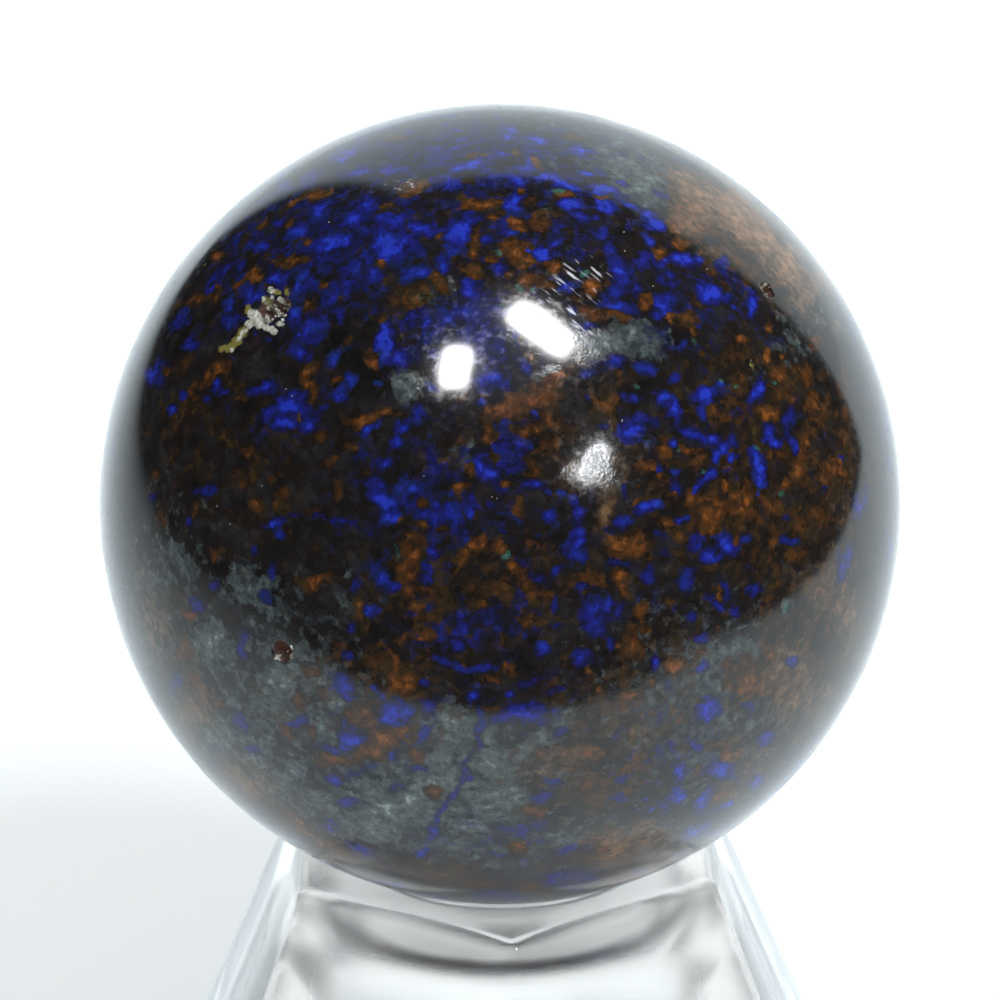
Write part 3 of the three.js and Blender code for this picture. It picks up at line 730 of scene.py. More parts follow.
CLAY_SPOTS = [
    (606, 513, 24, 66, 5, 0.72), (440, 468, 44, 32, 0, 0.58), (428, 455, 30, 20, 0, 0.5),
    (622, 470, 22, 50, 10, 0.6), (700, 200, 56, 44, -30, 1.0), (735, 215, 64, 44, -40, 1.15),
    (762, 238, 56, 34, -45, 1.15), (786, 264, 50, 34, -50, 1.1), (808, 294, 34, 44, -20, 0.8),
    (690, 186, 60, 30, -30, 0.9), (690, 222, 40, 40, 10, 0.8), (720, 254, 50, 18, -20, 0.6),
    (835, 330, 16, 40, -15, 0.55), (790, 226, 60, 20, -45, 0.9), (826, 274, 50, 20, -55, 0.8),
    (820, 590, 50, 60, 20, 0.55), (790, 660, 60, 60, 20, 0.55), (846, 520, 24, 70, -5, 0.5),
    (740, 740, 60, 40, 30, 0.42), (612, 850, 60, 26, 10, 0.5), (184, 650, 30, 50, 20, 0.42),
    (236, 780, 50, 20, -40, 0.5), (300, 150, 60, 16, 30, 0.4), (560, 555, 40, 16, 0, 0.42),
    (395, 330, 40, 20, 0, 0.4), (640, 560, 24, 20, 0, 0.42), (152, 620, 40, 130, 15, 0.62),
    (190, 715, 50, 90, -38, 0.66), (248, 785, 90, 44, -38, 0.72), (318, 842, 110, 34, -24, 0.66),
    (420, 872, 120, 24, -6, 0.55), (800, 690, 80, 130, 28, 0.62), (752, 772, 90, 70, 42, 0.60),
    (846, 610, 46, 120, 14, 0.62), (640, 842, 110, 44, 20, 0.62), (560, 760, 90, 60, 0, 0.48),
    (640, 730, 90, 70, 10, 0.50),
]
# Painted highlights: where the fibre tips catch the lamp, drawn by the material as bright lines.
FIBRE_GLINT_SPOTS = [
    (583, 277, 46, 34, -45, 1.3), (560, 287, 26, 22, -45, 1.1), (574, 318, 44, 16, -45, 0.95),
    (598, 270, 20, 16, 0, 0.9), (404, 186, 50, 12, -8, 0.75), (453, 285, 12, 26, 10, 0.6),
    (548, 300, 12, 12, 0, 1.0),
]
silver = spot_field(SILVER_AND_GLINT_SPOTS)
malachite = spot_field(MALACHITE_SPOTS)
calcite = spot_field(CALCITE_SPOTS, true_places)
olive_calcite = spot_field(OLIVE_CALCITE_SPOTS, true_places)
clay = spot_field(CLAY_SPOTS)
fibre_glints = spot_field(FIBRE_GLINT_SPOTS)
# Painted highlights: the single bright dots are painted glints, near-white in the base colour.
glints = [(x, y, GLINT_WIDE, GLINT_WIDE, 0, GLINT_STRENGTH) for x, y in GLINT_PLACES]
glint_dots = spot_field(glints, true_places)
print("silver", round(float((silver > 0.5).mean()), 3), "calcite", round(float((calcite > 0.5).mean()), 4))

# %% [markdown]
# The photograph shows one side of the stone. The other sides get the same rock, grown from noise: fractal
# noise gives each mineral's abundance in crumbs of the same sizes. It fades out inside the ball's outline,
# where the listed side takes over. Under everything lies a thin scatter, so that the spots don't stop
# short against bare rock, and the left of the stone keeps its wide dark area.

# %% The unseen sides and the thin scatter


def grown(fineness, shift, low, high):
    """Fractal noise at each corner, stretched so that low becomes 0 and high becomes 1."""
    values = np.array([
        noise.fractal(Vector(way) * fineness + shift, 0.7, 2.1, 5, noise_basis="PERLIN_NEW") for way in ways
    ])
    return np.clip((values - low) / (high - low), 0.0, 1.5)


SHIFT_BLUE = Vector((3.1, 0.0, 7.7))
SHIFT_RUST = Vector((-8.2, 5.5, 0.0))
SHIFT_SILVER = Vector((0.0, -9.4, 2.6))
SHIFT_BROAD = Vector((11.0, 4.0, -6.0))
HIDDEN_FROM = 0.45
HIDDEN_FADE = 0.30

broad = grown(2.2, SHIFT_BROAD, -0.5, 0.5)
hidden = np.clip((HIDDEN_FROM - ways @ np.array(camera_back)) / HIDDEN_FADE, 0.0, 1.0)
blue_grown = grown(13.0, SHIFT_BLUE, -0.30, 0.65) * (0.75 + 0.5 * broad)
rust_grown = grown(10.0, SHIFT_RUST, -0.38, 0.60) * (1.25 - 0.5 * broad)
silver_grown = grown(5.0, SHIFT_SILVER, -0.1, 0.75)
blue_all = np.maximum(blue, blue_grown * hidden)
rust_all = np.maximum(rust, rust_grown * hidden)
silver_all = np.maximum(silver, silver_grown * hidden)
for name, values in (("azurite", blue_grown), ("iron", rust_grown), ("silver", silver_grown)):
    print("hidden side:", name, round(float((values > 0.5).mean()), 3))

SCATTER_BLUE = [
    (320, 250, 280, 200, 25, 0.50), (520, 220, 320, 160, 0, 0.44), (690, 290, 190, 150, -30, 0.40),
    (450, 480, 220, 200, 0, 0.40), (600, 570, 240, 200, 0, 0.30), (710, 440, 180, 160, 0, 0.30),
    (380, 730, 220, 110, 0, 0.32), (690, 750, 220, 180, 0, 0.34), (470, 150, 320, 76, 0, 0.56),
    (470, 340, 150, 100, 0, 0.60), (300, 400, 240, 90, 0, 0.30), (530, 700, 260, 70, 0, 0.34),
    (520, 850, 260, 70, 0, 0.34), (480, 620, 200, 90, 0, 0.42), (560, 350, 140, 80, 0, 0.34),
]
SCATTER_RUST = [
    (500, 250, 400, 190, 0, 0.36), (750, 480, 280, 260, 0, 0.48), (560, 430, 280, 200, 0, 0.40),
    (640, 690, 320, 200, 0, 0.38), (380, 680, 220, 160, 0, 0.40), (760, 220, 200, 170, -45, 0.62),
    (240, 440, 280, 280, 0, 0.30), (260, 270, 220, 140, 20, 0.34), (500, 590, 280, 160, 0, 0.44),
    (610, 860, 180, 70, 0, 0.48), (250, 800, 180, 80, -30, 0.42), (830, 640, 140, 260, 0, 0.42),
    (420, 600, 120, 100, 0, 0.46), (180, 700, 80, 160, 20, 0.36), (590, 780, 160, 120, 0, 0.46),
]
SCATTER_SILVER = [
    (430, 790, 300, 150, 0, 0.60), (270, 700, 240, 230, 0, 0.50), (690, 710, 250, 210, 0, 0.50),
    (620, 160, 220, 90, -25, 0.52), (610, 470, 80, 90, 0, 0.34), (160, 600, 120, 200, 0, 0.46),
    (400, 150, 200, 60, 15, 0.40), (800, 330, 60, 140, -30, 0.38), (560, 850, 300, 80, 0, 0.50),
]
blue_all = np.maximum(blue_all, spot_field(SCATTER_BLUE))
rust_all = np.maximum(rust_all, spot_field(SCATTER_RUST))
silver_all = np.maximum(silver_all, spot_field(SCATTER_SILVER))

# %% [markdown]
# Inside the vug and the pits the polish is gone. How deep a corner lies under the ball's surface says
# where that is.

# %% Store the abundances on the mesh
DULL_DEPTH = 0.25 * MM

depths = STONE_RADIUS - np.linalg.norm(read_corners(stone) - np.array(STONE_CENTRE), axis=1)
sunken = np.clip(depths / DULL_DEPTH, 0.0, 1.0)
FIELDS = {
    "azurite": blue_all,
    "iron": rust_all,
    "silver": silver_all,
    "malachite": malachite,
    "calcite": calcite,
    "olive_calcite": olive_calcite,
    "clay": clay,
    # The next two fields carry painted highlights: the fibre tips' glints and the single glint dots.
    "fibre_glints": fibre_glints,
    "glint_dots": glint_dots,
    "sunken": sunken,
}
for name, values in FIELDS.items():
    attribute = stone.data.attributes.new(name, "FLOAT", "POINT")
    attribute.data.foreach_set("value", values.astype(np.float32))
print("stored", sorted(FIELDS), "sunken corners", int((sunken > 0.5).sum()))

# %% [markdown]
# Materials are built from nodes. Small helpers keep that readable: they add a node with its settings and
# inputs, do a sum, add up weighted values, multiply several values, map a range onto 0 to 1, say how a ray
# came, or blend two colours. Four effects are shader node groups. Grain gives noise round zero, and crumbs
# gives a value for each small crumb. Mineral mask turns an abundance into a ragged mask and says how far
# inside it a point is. Handling marks gives the faint scratches and smears that all polished surfaces here
# carry.

# %% Helpers for materials


def add_node(tree, kind, inputs=None, **settings):
    node = tree.nodes.new(kind)
    for key, value in settings.items():
        setattr(node, key, value)
    for key, value in (inputs or {}).items():
        if isinstance(value, bpy.types.NodeSocket):
            tree.links.new(value, node.inputs[key])
        else:
            node.inputs[key].default_value = value
    return node


def sum_node(tree, operation, *values, clamp=False):
    inputs = dict(enumerate(values))
    return add_node(tree, "ShaderNodeMath", inputs, operation=operation, use_clamp=clamp).outputs[0]


def weighted_sum(tree, total, *parts, clamp=False):
    """Adds each part times its weight to the total. Clamp keeps the end result between 0 and 1."""
    for number, (value, weight) in enumerate(parts, start=1):
        is_last = number == len(parts)
        total = sum_node(tree, "MULTIPLY_ADD", value, weight, total, clamp=clamp and is_last)
    return total


def map_range(tree, value, start, end, **settings):
    """0 where the value is at the start, 1 where it is at the end, and in between on the way."""
    inputs = {"Value": value, "From Min": start, "From Max": end}
    return add_node(tree, "ShaderNodeMapRange", inputs, **settings).outputs[0]


def product(tree, total, *factors):
    for factor in factors:
        total = sum_node(tree, "MULTIPLY", total, factor)
    return total


def ray_kinds(tree):
    """The light path node, how far a ray came through plastic, and whether it was only mirrored."""
    path = add_node(tree, "ShaderNodeLightPath")
    through = map_range(tree, path.outputs["Transmission Depth"], 0.0, 1.0)
    not_through = sum_node(tree, "SUBTRACT", 1.0, through)
    return path, through, sum_node(tree, "MULTIPLY", path.outputs["Is Glossy Ray"], not_through)


def blend_colours(tree, share, first, second):
    """The first colour where the share is 0 and the second where it is 1."""
    return add_node(tree, "ShaderNodeMix", {0: share, 6: first, 7: second}, data_type="RGBA").outputs[2]


def new_group(name, inputs, outputs):
    group = bpy.data.node_groups.new(name, "ShaderNodeTree")
    for label, kind, value in inputs:
        socket = group.interface.new_socket(name=label, in_out="INPUT", socket_type=kind)
        if value is not None:
            socket.default_value = value
    for label, kind in outputs:
        group.interface.new_socket(name=label, in_out="OUTPUT", socket_type=kind)
    entry = group.nodes.new("NodeGroupInput")
    leave = group.nodes.new("NodeGroupOutput")
    return group, entry, leave


def place_group(tree, group, inputs):
    return add_node(tree, "ShaderNodeGroup", inputs, node_tree=group)


def plain_material(name):
    material = bpy.data.materials.new(name)
    material.use_nodes = True
    tree = material.node_tree
    return material, tree, tree.nodes["Principled BSDF"]


def wear(piece, material):
    piece.data.materials.clear()
    piece.data.materials.append(material)


def colour(red, green, blue_part):
    """A colour given as it looks on screen, 0 to 255, as the linear values that nodes use."""
    linear = []
    for part in (red, green, blue_part):
        share = part / 255
        linear.append(share / 12.92 if share <= 0.04045 else ((share + 0.055) / 1.055) ** 2.4)
    return (*linear, 1.0)


FLOAT = "NodeSocketFloat"
VECTOR = "NodeSocketVector"
print("material helpers ready")

# %% Node group: grain
grain_group, entry, leave = new_group(
    "Grain",
    [("Vector", VECTOR, None), ("Fineness", FLOAT, 1000.0), ("Detail", FLOAT, 4.0), ("Offset", VECTOR, None)],
    [("Value", FLOAT)],
)
shifted = add_node(grain_group, "ShaderNodeVectorMath",
                   {0: entry.outputs["Vector"], 1: entry.outputs["Offset"]}, operation="ADD")
grain_noise = add_node(grain_group, "ShaderNodeTexNoise",
                       {"Vector": shifted.outputs[0], "Scale": entry.outputs["Fineness"],
                        "Detail": entry.outputs["Detail"], "Roughness": 0.62})
centred = sum_node(grain_group, "SUBTRACT", grain_noise.outputs[0], 0.5)
grain_group.links.new(centred, leave.inputs["Value"])

# %% [markdown]
# Noise alone draws clouds, but this rock is made of small angular crumbs. The crumbs group cuts space into
# Voronoi cells, bent by a noise so that their borders aren't straight, and gives each cell two random
# values round zero. The smooth kind of cell keeps their borders a little soft.

# %% Node group: crumbs
crumb_group, entry, leave = new_group(
    "Crumbs",
    [("Vector", VECTOR, None), ("Fineness", FLOAT, 1000.0), ("Bend", FLOAT, 0.0002)],
    [("Value", FLOAT), ("Shade", FLOAT)],
)
bend_noise = add_node(crumb_group, "ShaderNodeTexNoise",
                      {"Vector": entry.outputs["Vector"], "Scale": entry.outputs["Fineness"], "Detail": 3.0})
bend_way = add_node(crumb_group, "ShaderNodeVectorMath",
                    {0: bend_noise.outputs["Color"], 1: (0.5, 0.5, 0.5)}, operation="SUBTRACT")
bend_step = add_node(crumb_group, "ShaderNodeVectorMath", {0: bend_way.outputs[0]}, operation="SCALE")
crumb_group.links.new(entry.outputs["Bend"], bend_step.inputs["Scale"])
bend_place = add_node(crumb_group, "ShaderNodeVectorMath",
                      {0: entry.outputs["Vector"], 1: bend_step.outputs[0]}, operation="ADD")
cells = add_node(crumb_group, "ShaderNodeTexVoronoi", feature="SMOOTH_F1")
crumb_group.links.new(bend_place.outputs[0], cells.inputs["Vector"])
crumb_group.links.new(entry.outputs["Fineness"], cells.inputs["Scale"])
cells.inputs["Smoothness"].default_value = 0.15
cell_parts = add_node(crumb_group, "ShaderNodeSeparateColor", {0: cells.outputs["Color"]})
for part, label in ((0, "Value"), (1, "Shade")):
    from_middle = sum_node(crumb_group, "SUBTRACT", cell_parts.outputs[part], 0.5)
    crumb_group.links.new(from_middle, leave.inputs[label])

# %% Node group: mineral mask
FULL_RICHNESS = 1.25

mask_group, entry, leave = new_group(
    "Mineral mask",
    [("Abundance", FLOAT, 0.0), ("Grain", FLOAT, 0.0), ("Raggedness", FLOAT, 1.0),
     ("From", FLOAT, 0.25), ("To", FLOAT, 0.45)],
    [("Mask", FLOAT), ("Richness", FLOAT)],
)
ragged = sum_node(mask_group, "MULTIPLY_ADD", entry.outputs["Grain"], entry.outputs["Raggedness"],
                  entry.outputs["Abundance"])
mask = map_range(mask_group, ragged, entry.outputs["From"], entry.outputs["To"],
                 interpolation_type="SMOOTHSTEP")
richness = map_range(mask_group, ragged, entry.outputs["From"], FULL_RICHNESS)
mask_group.links.new(mask, leave.inputs["Mask"])
mask_group.links.new(richness, leave.inputs["Richness"])

# %% Node group: handling marks
marks_group, entry, leave = new_group(
    "Handling marks",
    [("Vector", VECTOR, None), ("Smooth", FLOAT, 0.04), ("Smeared", FLOAT, 0.1), ("Fineness", FLOAT, 120.0)],
    [("Roughness", FLOAT), ("Scratch", FLOAT)],
)
smear = add_node(marks_group, "ShaderNodeTexNoise",
                 {"Vector": entry.outputs["Vector"], "Scale": entry.outputs["Fineness"], "Detail": 5.0})
smear_step = add_node(marks_group, "ShaderNodeMapRange",
                      {"Value": smear.outputs[0], "From Min": 0.42, "From Max": 0.72,
                       "To Min": entry.outputs["Smooth"], "To Max": entry.outputs["Smeared"]})
drawn = add_node(marks_group, "ShaderNodeMapping",
                 {"Vector": entry.outputs["Vector"], "Rotation": (0.4, 0.9, 0.3), "Scale": (1.0, 9.0, 9.0)})
scratch_noise = add_node(marks_group, "ShaderNodeTexNoise",
                         {"Vector": drawn.outputs[0], "Scale": 260.0, "Detail": 2.0})
scratch = map_range(marks_group, scratch_noise.outputs[0], 0.66, 0.74)
marks_group.links.new(smear_step.outputs[0], leave.inputs["Roughness"])
marks_group.links.new(scratch, leave.inputs["Scratch"])
print("groups:", [group.name for group in (grain_group, crumb_group, mask_group, marks_group)])

# %% [markdown]
# The stone's material lays the minerals over each other: dark matrix, silver ore, iron ore, azurite,
# malachite and calcite. Each mask has its own grain. Inside a crumb the colour goes from dark at the edge
# to bright in the middle. The polish makes one smooth skin over all of them, so the roughness hardly
# changes, and only the silver ore glitters. Azurite and the ores bend light strongly; here the index of
# refraction is set to 1.5, and the mirror image is clear.

# %% Stone material: masks
stone_material, tree, stone_shader = plain_material("stone")
place_vector = add_node(tree, "ShaderNodeTexCoord").outputs["Object"]


def abundance(name):
    return add_node(tree, "ShaderNodeAttribute", attribute_name=name).outputs["Fac"]


def grain(fineness, detail, offset):
    inputs = {"Vector": place_vector, "Fineness": fineness, "Detail": detail, "Offset": offset}
    return place_group(tree, grain_group, inputs).outputs["Value"]


def crumbs(fineness, bend):
    inputs = {"Vector": place_vector, "Fineness": fineness, "Bend": bend}
    node = place_group(tree, crumb_group, inputs)
    return node.outputs["Value"], node.outputs["Shade"]


def mineral(name, grain_value, raggedness, begins, full):
    inputs = {"Abundance": abundance(name), "Grain": grain_value, "Raggedness": raggedness,
              "From": begins, "To": full}
    node = place_group(tree, mask_group, inputs)
    return node.outputs["Mask"], node.outputs["Richness"]


fine_grain = grain(2100.0, 4.0, (0.1, 0.0, 0.0))
edge_grain = grain(4200.0, 4.0, (0.3, 0.3, 0.3))
crumb_grain = grain(800.0, 6.0, (0.0, 0.2, 0.0))
rust_grain = grain(950.0, 6.0, (0.0, 0.0, 0.3))
wide_grain = grain(420.0, 5.0, (0.4, 0.1, 0.0))
silver_grain = grain(1500.0, 6.0, (0.2, 0.2, 0.0))
glitter_grain = grain(5200.0, 3.0, (0.0, 0.3, 0.2))
large_value, large_shade = crumbs(1250.0, 0.0009)
small_value, small_shade = crumbs(2700.0, 0.0004)

LARGE_SHARE = 0.20
SMALL_SHARE = 0.14


def with_crumbs(grain_value, large, small):
    """Adds the step from crumb to crumb to a smooth grain."""
    return weighted_sum(tree, grain_value, (large, LARGE_SHARE), (small, SMALL_SHARE))


azurite_grain = with_crumbs(crumb_grain, large_value, small_value)
iron_grain = with_crumbs(rust_grain, large_shade, small_shade)
ore_grain = with_crumbs(silver_grain, large_shade, small_value)
clay_grain = with_crumbs(silver_grain, large_value, small_shade)
azurite_mask, azurite_richness = mineral("azurite", azurite_grain, 1.05, 0.20, 0.55)
iron_mask, iron_richness = mineral("iron", iron_grain, 1.1, 0.19, 0.57)
silver_mask, silver_richness = mineral("silver", ore_grain, 1.15, 0.28, 0.52)
malachite_mask = mineral("malachite", edge_grain, 1.4, 0.34, 1.05)[0]
calcite_mask = mineral("calcite", edge_grain, 1.2, 0.42, 0.72)[0]
olive_mask = mineral("olive_calcite", edge_grain, 1.2, 0.38, 0.80)[0]
clay_mask, clay_richness = mineral("clay", clay_grain, 1.0, 0.16, 0.80)

# %% Stone material: colours


def fill_ramp(share, stops):
    """Each stop is a position and a colour as it looks on screen."""
    node = add_node(tree, "ShaderNodeValToRGB", {"Fac": share})
    elements = node.color_ramp.elements
    while len(elements) < len(stops):
        elements.new(0.5)
    for element, (position, *on_screen) in zip(elements, stops):
        element.position = position
        element.color = colour(*on_screen)
    return node.outputs["Color"]


CLAY_COVER = 0.85
MALACHITE_COVER = 0.6
# The fibre direction, along which the painted glint lines of the fibre tips run.
FIBRE_PLACE = (577, 288)
FIBRE_TURN = math.radians(-46)
outwards = on_stone(*FIBRE_PLACE)
along = camera_right * math.cos(FIBRE_TURN) + camera_up * math.sin(FIBRE_TURN)
along = (along - outwards * along.dot(outwards)).normalized()
fibre_frame = Matrix((along, outwards.cross(along), outwards)).transposed()
fibre_inputs = {"Vector": place_vector, "Rotation": fibre_frame.to_euler(), "Scale": (5.0, 1.0, 1.0)}
fibre_place = add_node(tree, "ShaderNodeMapping", fibre_inputs, vector_type="TEXTURE").outputs[0]

matrix_share = weighted_sum(tree, 0.47, (wide_grain, 1.7), (large_value, 0.30), (small_value, 0.22),
                            clamp=True)
matrix_colour = fill_ramp(matrix_share, [
    (0.0, 15, 14, 14), (0.25, 24, 22, 22), (0.45, 34, 29, 24), (0.62, 38, 38, 43), (0.8, 52, 50, 46),
    (1.0, 68, 67, 66),
])
matrix_fine = weighted_sum(tree, 0.35, (fine_grain, 1.8), clamp=True)
matrix_colour = blend_colours(tree, matrix_fine, matrix_colour, colour(28, 27, 30))

# The silver's shade: real grey ore, plus a painted glint from its strength next to the lamp highlights and
# from the fine glitter grain in the colour.
silver_and_glint_share = weighted_sum(tree, 0.24, (silver_richness, 0.45), (fine_grain, 1.0), (glitter_grain, 0.6),
                            (small_value, 0.30), clamp=True)
silver_colour = fill_ramp(silver_and_glint_share, [
    (0.0, 34, 38, 40), (0.35, 60, 68, 70), (0.75, 90, 101, 101), (1.0, 148, 160, 157),
])

iron_share = weighted_sum(tree, 0.0, (iron_richness, 0.74), (fine_grain, 1.1), (small_value, 0.45),
                          clamp=True)
iron_colour = fill_ramp(iron_share, [
    (0.0, 32, 26, 21), (0.18, 45, 33, 23), (0.4, 62, 41, 24), (0.65, 88, 53, 27), (1.0, 142, 83, 39),
])
olive_share = weighted_sum(tree, large_shade, (wide_grain, 2.0), clamp=True)
olive_share = sum_node(tree, "MULTIPLY", olive_share, 0.55)
iron_colour = blend_colours(tree, olive_share, iron_colour, colour(62, 54, 34))

azurite_share = weighted_sum(tree, azurite_richness, (fine_grain, 1.3), (large_shade, 0.22),
                             (small_shade, 0.34), clamp=True)
azurite_colour = fill_ramp(azurite_share, [
    (0.0, 27, 27, 38), (0.2, 26, 27, 56), (0.4, 27, 30, 84), (0.6, 28, 33, 110), (0.82, 30, 39, 138),
    (1.0, 38, 56, 182),
])
teal_share = weighted_sum(tree, large_shade, (wide_grain, -2.4), clamp=True)
teal_share = sum_node(tree, "MULTIPLY", teal_share, 0.5)
azurite_colour = blend_colours(tree, teal_share, azurite_colour, colour(30, 52, 98))

clay_share = weighted_sum(tree, 0.0, (clay_richness, 0.85), (fine_grain, 0.8), (small_value, 0.25),
                          clamp=True)
clay_colour = fill_ramp(clay_share, [
    (0.0, 48, 41, 33), (0.3, 80, 64, 48), (0.6, 116, 90, 66), (1.0, 152, 123, 96),
])
clay_cover = sum_node(tree, "MULTIPLY", clay_mask, CLAY_COVER)
body_colour = blend_colours(tree, silver_mask, matrix_colour, silver_colour)
body_colour = blend_colours(tree, iron_mask, body_colour, iron_colour)
body_colour = blend_colours(tree, clay_cover, body_colour, clay_colour)
blue_lead = sum_node(tree, "SUBTRACT", azurite_richness, iron_richness)
blue_wins = map_range(tree, blue_lead, -0.16, 0.02, interpolation_type="SMOOTHSTEP")
azurite_cover = sum_node(tree, "MULTIPLY", azurite_mask, blue_wins)
body_colour = blend_colours(tree, azurite_cover, body_colour, azurite_colour)
malachite_cover = sum_node(tree, "MULTIPLY", malachite_mask, MALACHITE_COVER)
body_colour = blend_colours(tree, malachite_cover, body_colour, colour(62, 118, 106))
body_colour = blend_colours(tree, olive_mask, body_colour, colour(128, 122, 66))
calcite_share = weighted_sum(tree, 0.5, (edge_grain, 2.5), clamp=True)
calcite_colour = fill_ramp(calcite_share, [
    (0.0, 112, 112, 98), (0.5, 176, 178, 164), (1.0, 226, 230, 224),
])
body_colour = blend_colours(tree, calcite_mask, body_colour, calcite_colour)
# Painted highlights: the fibre tips' glints as thin bright lines and the single glint dots, painted
# near-white into the base colour.
fibre_glint_noise = add_node(tree, "ShaderNodeTexNoise", {"Vector": fibre_place, "Scale": 3600.0, "Detail": 2.0})
fibre_glint_line = map_range(tree, fibre_glint_noise.outputs[0], 0.57, 0.68)
fibre_glint_area = map_range(tree, abundance("fibre_glints"), 0.3, 0.8)
fibre_glint_cover = sum_node(tree, "MULTIPLY", fibre_glint_line, fibre_glint_area)
glint_dot_cover = map_range(tree, abundance("glint_dots"), 0.35, 1.0)
painted_glint_cover = sum_node(tree, "MAXIMUM", fibre_glint_cover, glint_dot_cover)
body_colour = blend_colours(tree, painted_glint_cover, body_colour, colour(214, 218, 228))
sunken_value = abundance("sunken")
bare_share = sum_node(tree, "SUBTRACT", 1.0, sum_node(tree, "MAXIMUM", calcite_mask, olive_mask))
bare_share = sum_node(tree, "MULTIPLY", sum_node(tree, "MULTIPLY", sunken_value, 0.75), bare_share)
body_colour = blend_colours(tree, bare_share, body_colour, colour(104, 58, 44))
tree.links.new(body_colour, stone_shader.inputs["Base Color"])

# %% Stone material: polish
marks = place_group(tree, marks_group, {"Vector": place_vector, "Smooth": 0.09, "Smeared": 0.12,
                                        "Fineness": 90.0})
hardness = sum_node(tree, "MAXIMUM", fine_grain, 0.0)
rougher = weighted_sum(tree, marks.outputs["Roughness"], (hardness, 0.55), (marks.outputs["Scratch"], 0.06),
                       (silver_mask, 0.05), (sunken_value, 0.5), (calcite_mask, 0.25), clamp=True)
tree.links.new(rougher, stone_shader.inputs["Roughness"])
silver_area = map_range(tree, abundance("silver"), 0.2, 0.6)
relief = weighted_sum(tree, 0.0, (silver_area, glitter_grain), (sunken_value, fine_grain))
bump = add_node(tree, "ShaderNodeBump", {"Height": relief, "Strength": 0.25, "Distance": 0.00005})
tree.links.new(bump.outputs["Normal"], stone_shader.inputs["Normal"])
stone_shader.inputs["IOR"].default_value = 1.5
wear(stone, stone_material)
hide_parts("azurite_sphere")
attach(stone, "root")
print("stone material nodes", len(tree.nodes))

# %% [markdown]
# Small white crystals of calcite stand in the vug and in two pits. Each is a six-sided prism with a
# pointed end. One is modelled from a cylinder: its top face is inset, made small and pulled up. The
# others are copies, each with its own mesh, turned and sized differently and joined into one piece.

# %% Calcite crystals
CRYSTAL_SIDES = 6
CRYSTAL_SINK = 0.42 * MM
GOLDEN_TURN = 2.4
CRYSTAL_GROUPS = [
    (-52.5, 45.6, 1.5, 16, 0.16),
    (-49.8, 47.0, 1.1, 10, 0.14),
    (-31.6, 0.6, 1.0, 4, 0.09),
    (62.8, 44.4, 0.9, 6, 0.12),
]


def first_crystal():
    start_fresh()
    bpy.ops.mesh.primitive_cylinder_add(vertices=CRYSTAL_SIDES, radius=1.0, depth=3.0, location=(0, 0, 0))
    crystal = bpy.context.object
    centres = read_face_centres(crystal)
    edit_with(crystal, "polygons", centres[:, 2] > 1.4)
    bpy.ops.mesh.extrude_region_move(TRANSFORM_OT_translate={"value": (0.0, 0.0, 0.9)})
    bpy.ops.transform.resize(value=(0.12, 0.12, 1.0))
    done_editing()
    return crystal


def copy_crystal(crystal, place, way, size, spin):
    twin = crystal.copy()
    twin.data = crystal.data.copy()
    bpy.context.scene.collection.objects.link(twin)
    turn = way.to_track_quat("Z", "X").to_matrix().to_4x4()
    shape = Matrix.Rotation(spin, 4, "Z") @ Matrix.Scale(size, 4)
    twin.matrix_world = Matrix.Translation(place) @ turn @ shape
    return twin


chance = np.random.default_rng(7)
pattern = first_crystal()
twins = []
for around, up, width, count, size in CRYSTAL_GROUPS:
    way = outward(around, up)
    side = way.orthogonal().normalized()
    other = way.cross(side)
    for number in range(count):
        angle = number * GOLDEN_TURN + chance.uniform(-0.3, 0.3)
        away = width / 2 * MM * (0.35 + 0.5 * chance.random())
        shift = side * (math.cos(angle) * away) + other * (math.sin(angle) * away)
        lean = (way * 1.2 - shift.normalized() * (0.5 * chance.random())).normalized()
        spot = STONE_CENTRE + way * (STONE_RADIUS - CRYSTAL_SINK) + shift
        length = size * MM * chance.uniform(0.55, 1.0)
        twins.append(copy_crystal(pattern, spot, lean, length * 0.5, chance.uniform(0, 6)))
bpy.data.objects.remove(pattern)
start_fresh()
for twin in twins:
    twin.select_set(True)
bpy.context.view_layer.objects.active = twins[0]
bpy.ops.object.join()
crystals = bpy.context.object
crystals.name = "calcite_crystals"
settle(crystals)

calcite_material, tree, calcite_shader = plain_material("calcite")
place_vector = add_node(tree, "ShaderNodeTexCoord").outputs["Object"]
cloud = grain(2500.0, 3.0, (0.0, 0.0, 0.1))
cloud_share = weighted_sum(tree, 0.5, (cloud, 2.0), clamp=True)
crystal_colour = blend_colours(tree, cloud_share, colour(175, 172, 150), colour(228, 230, 226))
tree.links.new(crystal_colour, calcite_shader.inputs["Base Color"])
marks = place_group(tree, marks_group, {"Vector": place_vector, "Smooth": 0.12, "Smeared": 0.3,
                                        "Fineness": 900.0})
tree.links.new(marks.outputs["Roughness"], calcite_shader.inputs["Roughness"])
calcite_shader.inputs["IOR"].default_value = 1.6
wear(crystals, calcite_material)
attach(crystals, "root")
print("crystals", len(twins), "faces", len(crystals.data.polygons))

# %% [markdown]
# The stand is one piece of clear moulded plastic: a six-sided flared shell, with a shallow round seat on
# top and a round hollow below. It starts as a six-sided cone with its ridges and its top edge rounded.
# The seat and the hollow are cut with Boolean modifiers, as a mould's core would leave them. The wall
# ends up about 2 mm thick, and that is what bends the light into bright and grey bands.

# %% The stand's body
STAND_SIDES = 6
STAND_TOP_RADIUS = 13.6 * MM
RIDGE_ROUND = 0.6 * MM
ROUND_STEPS = 4

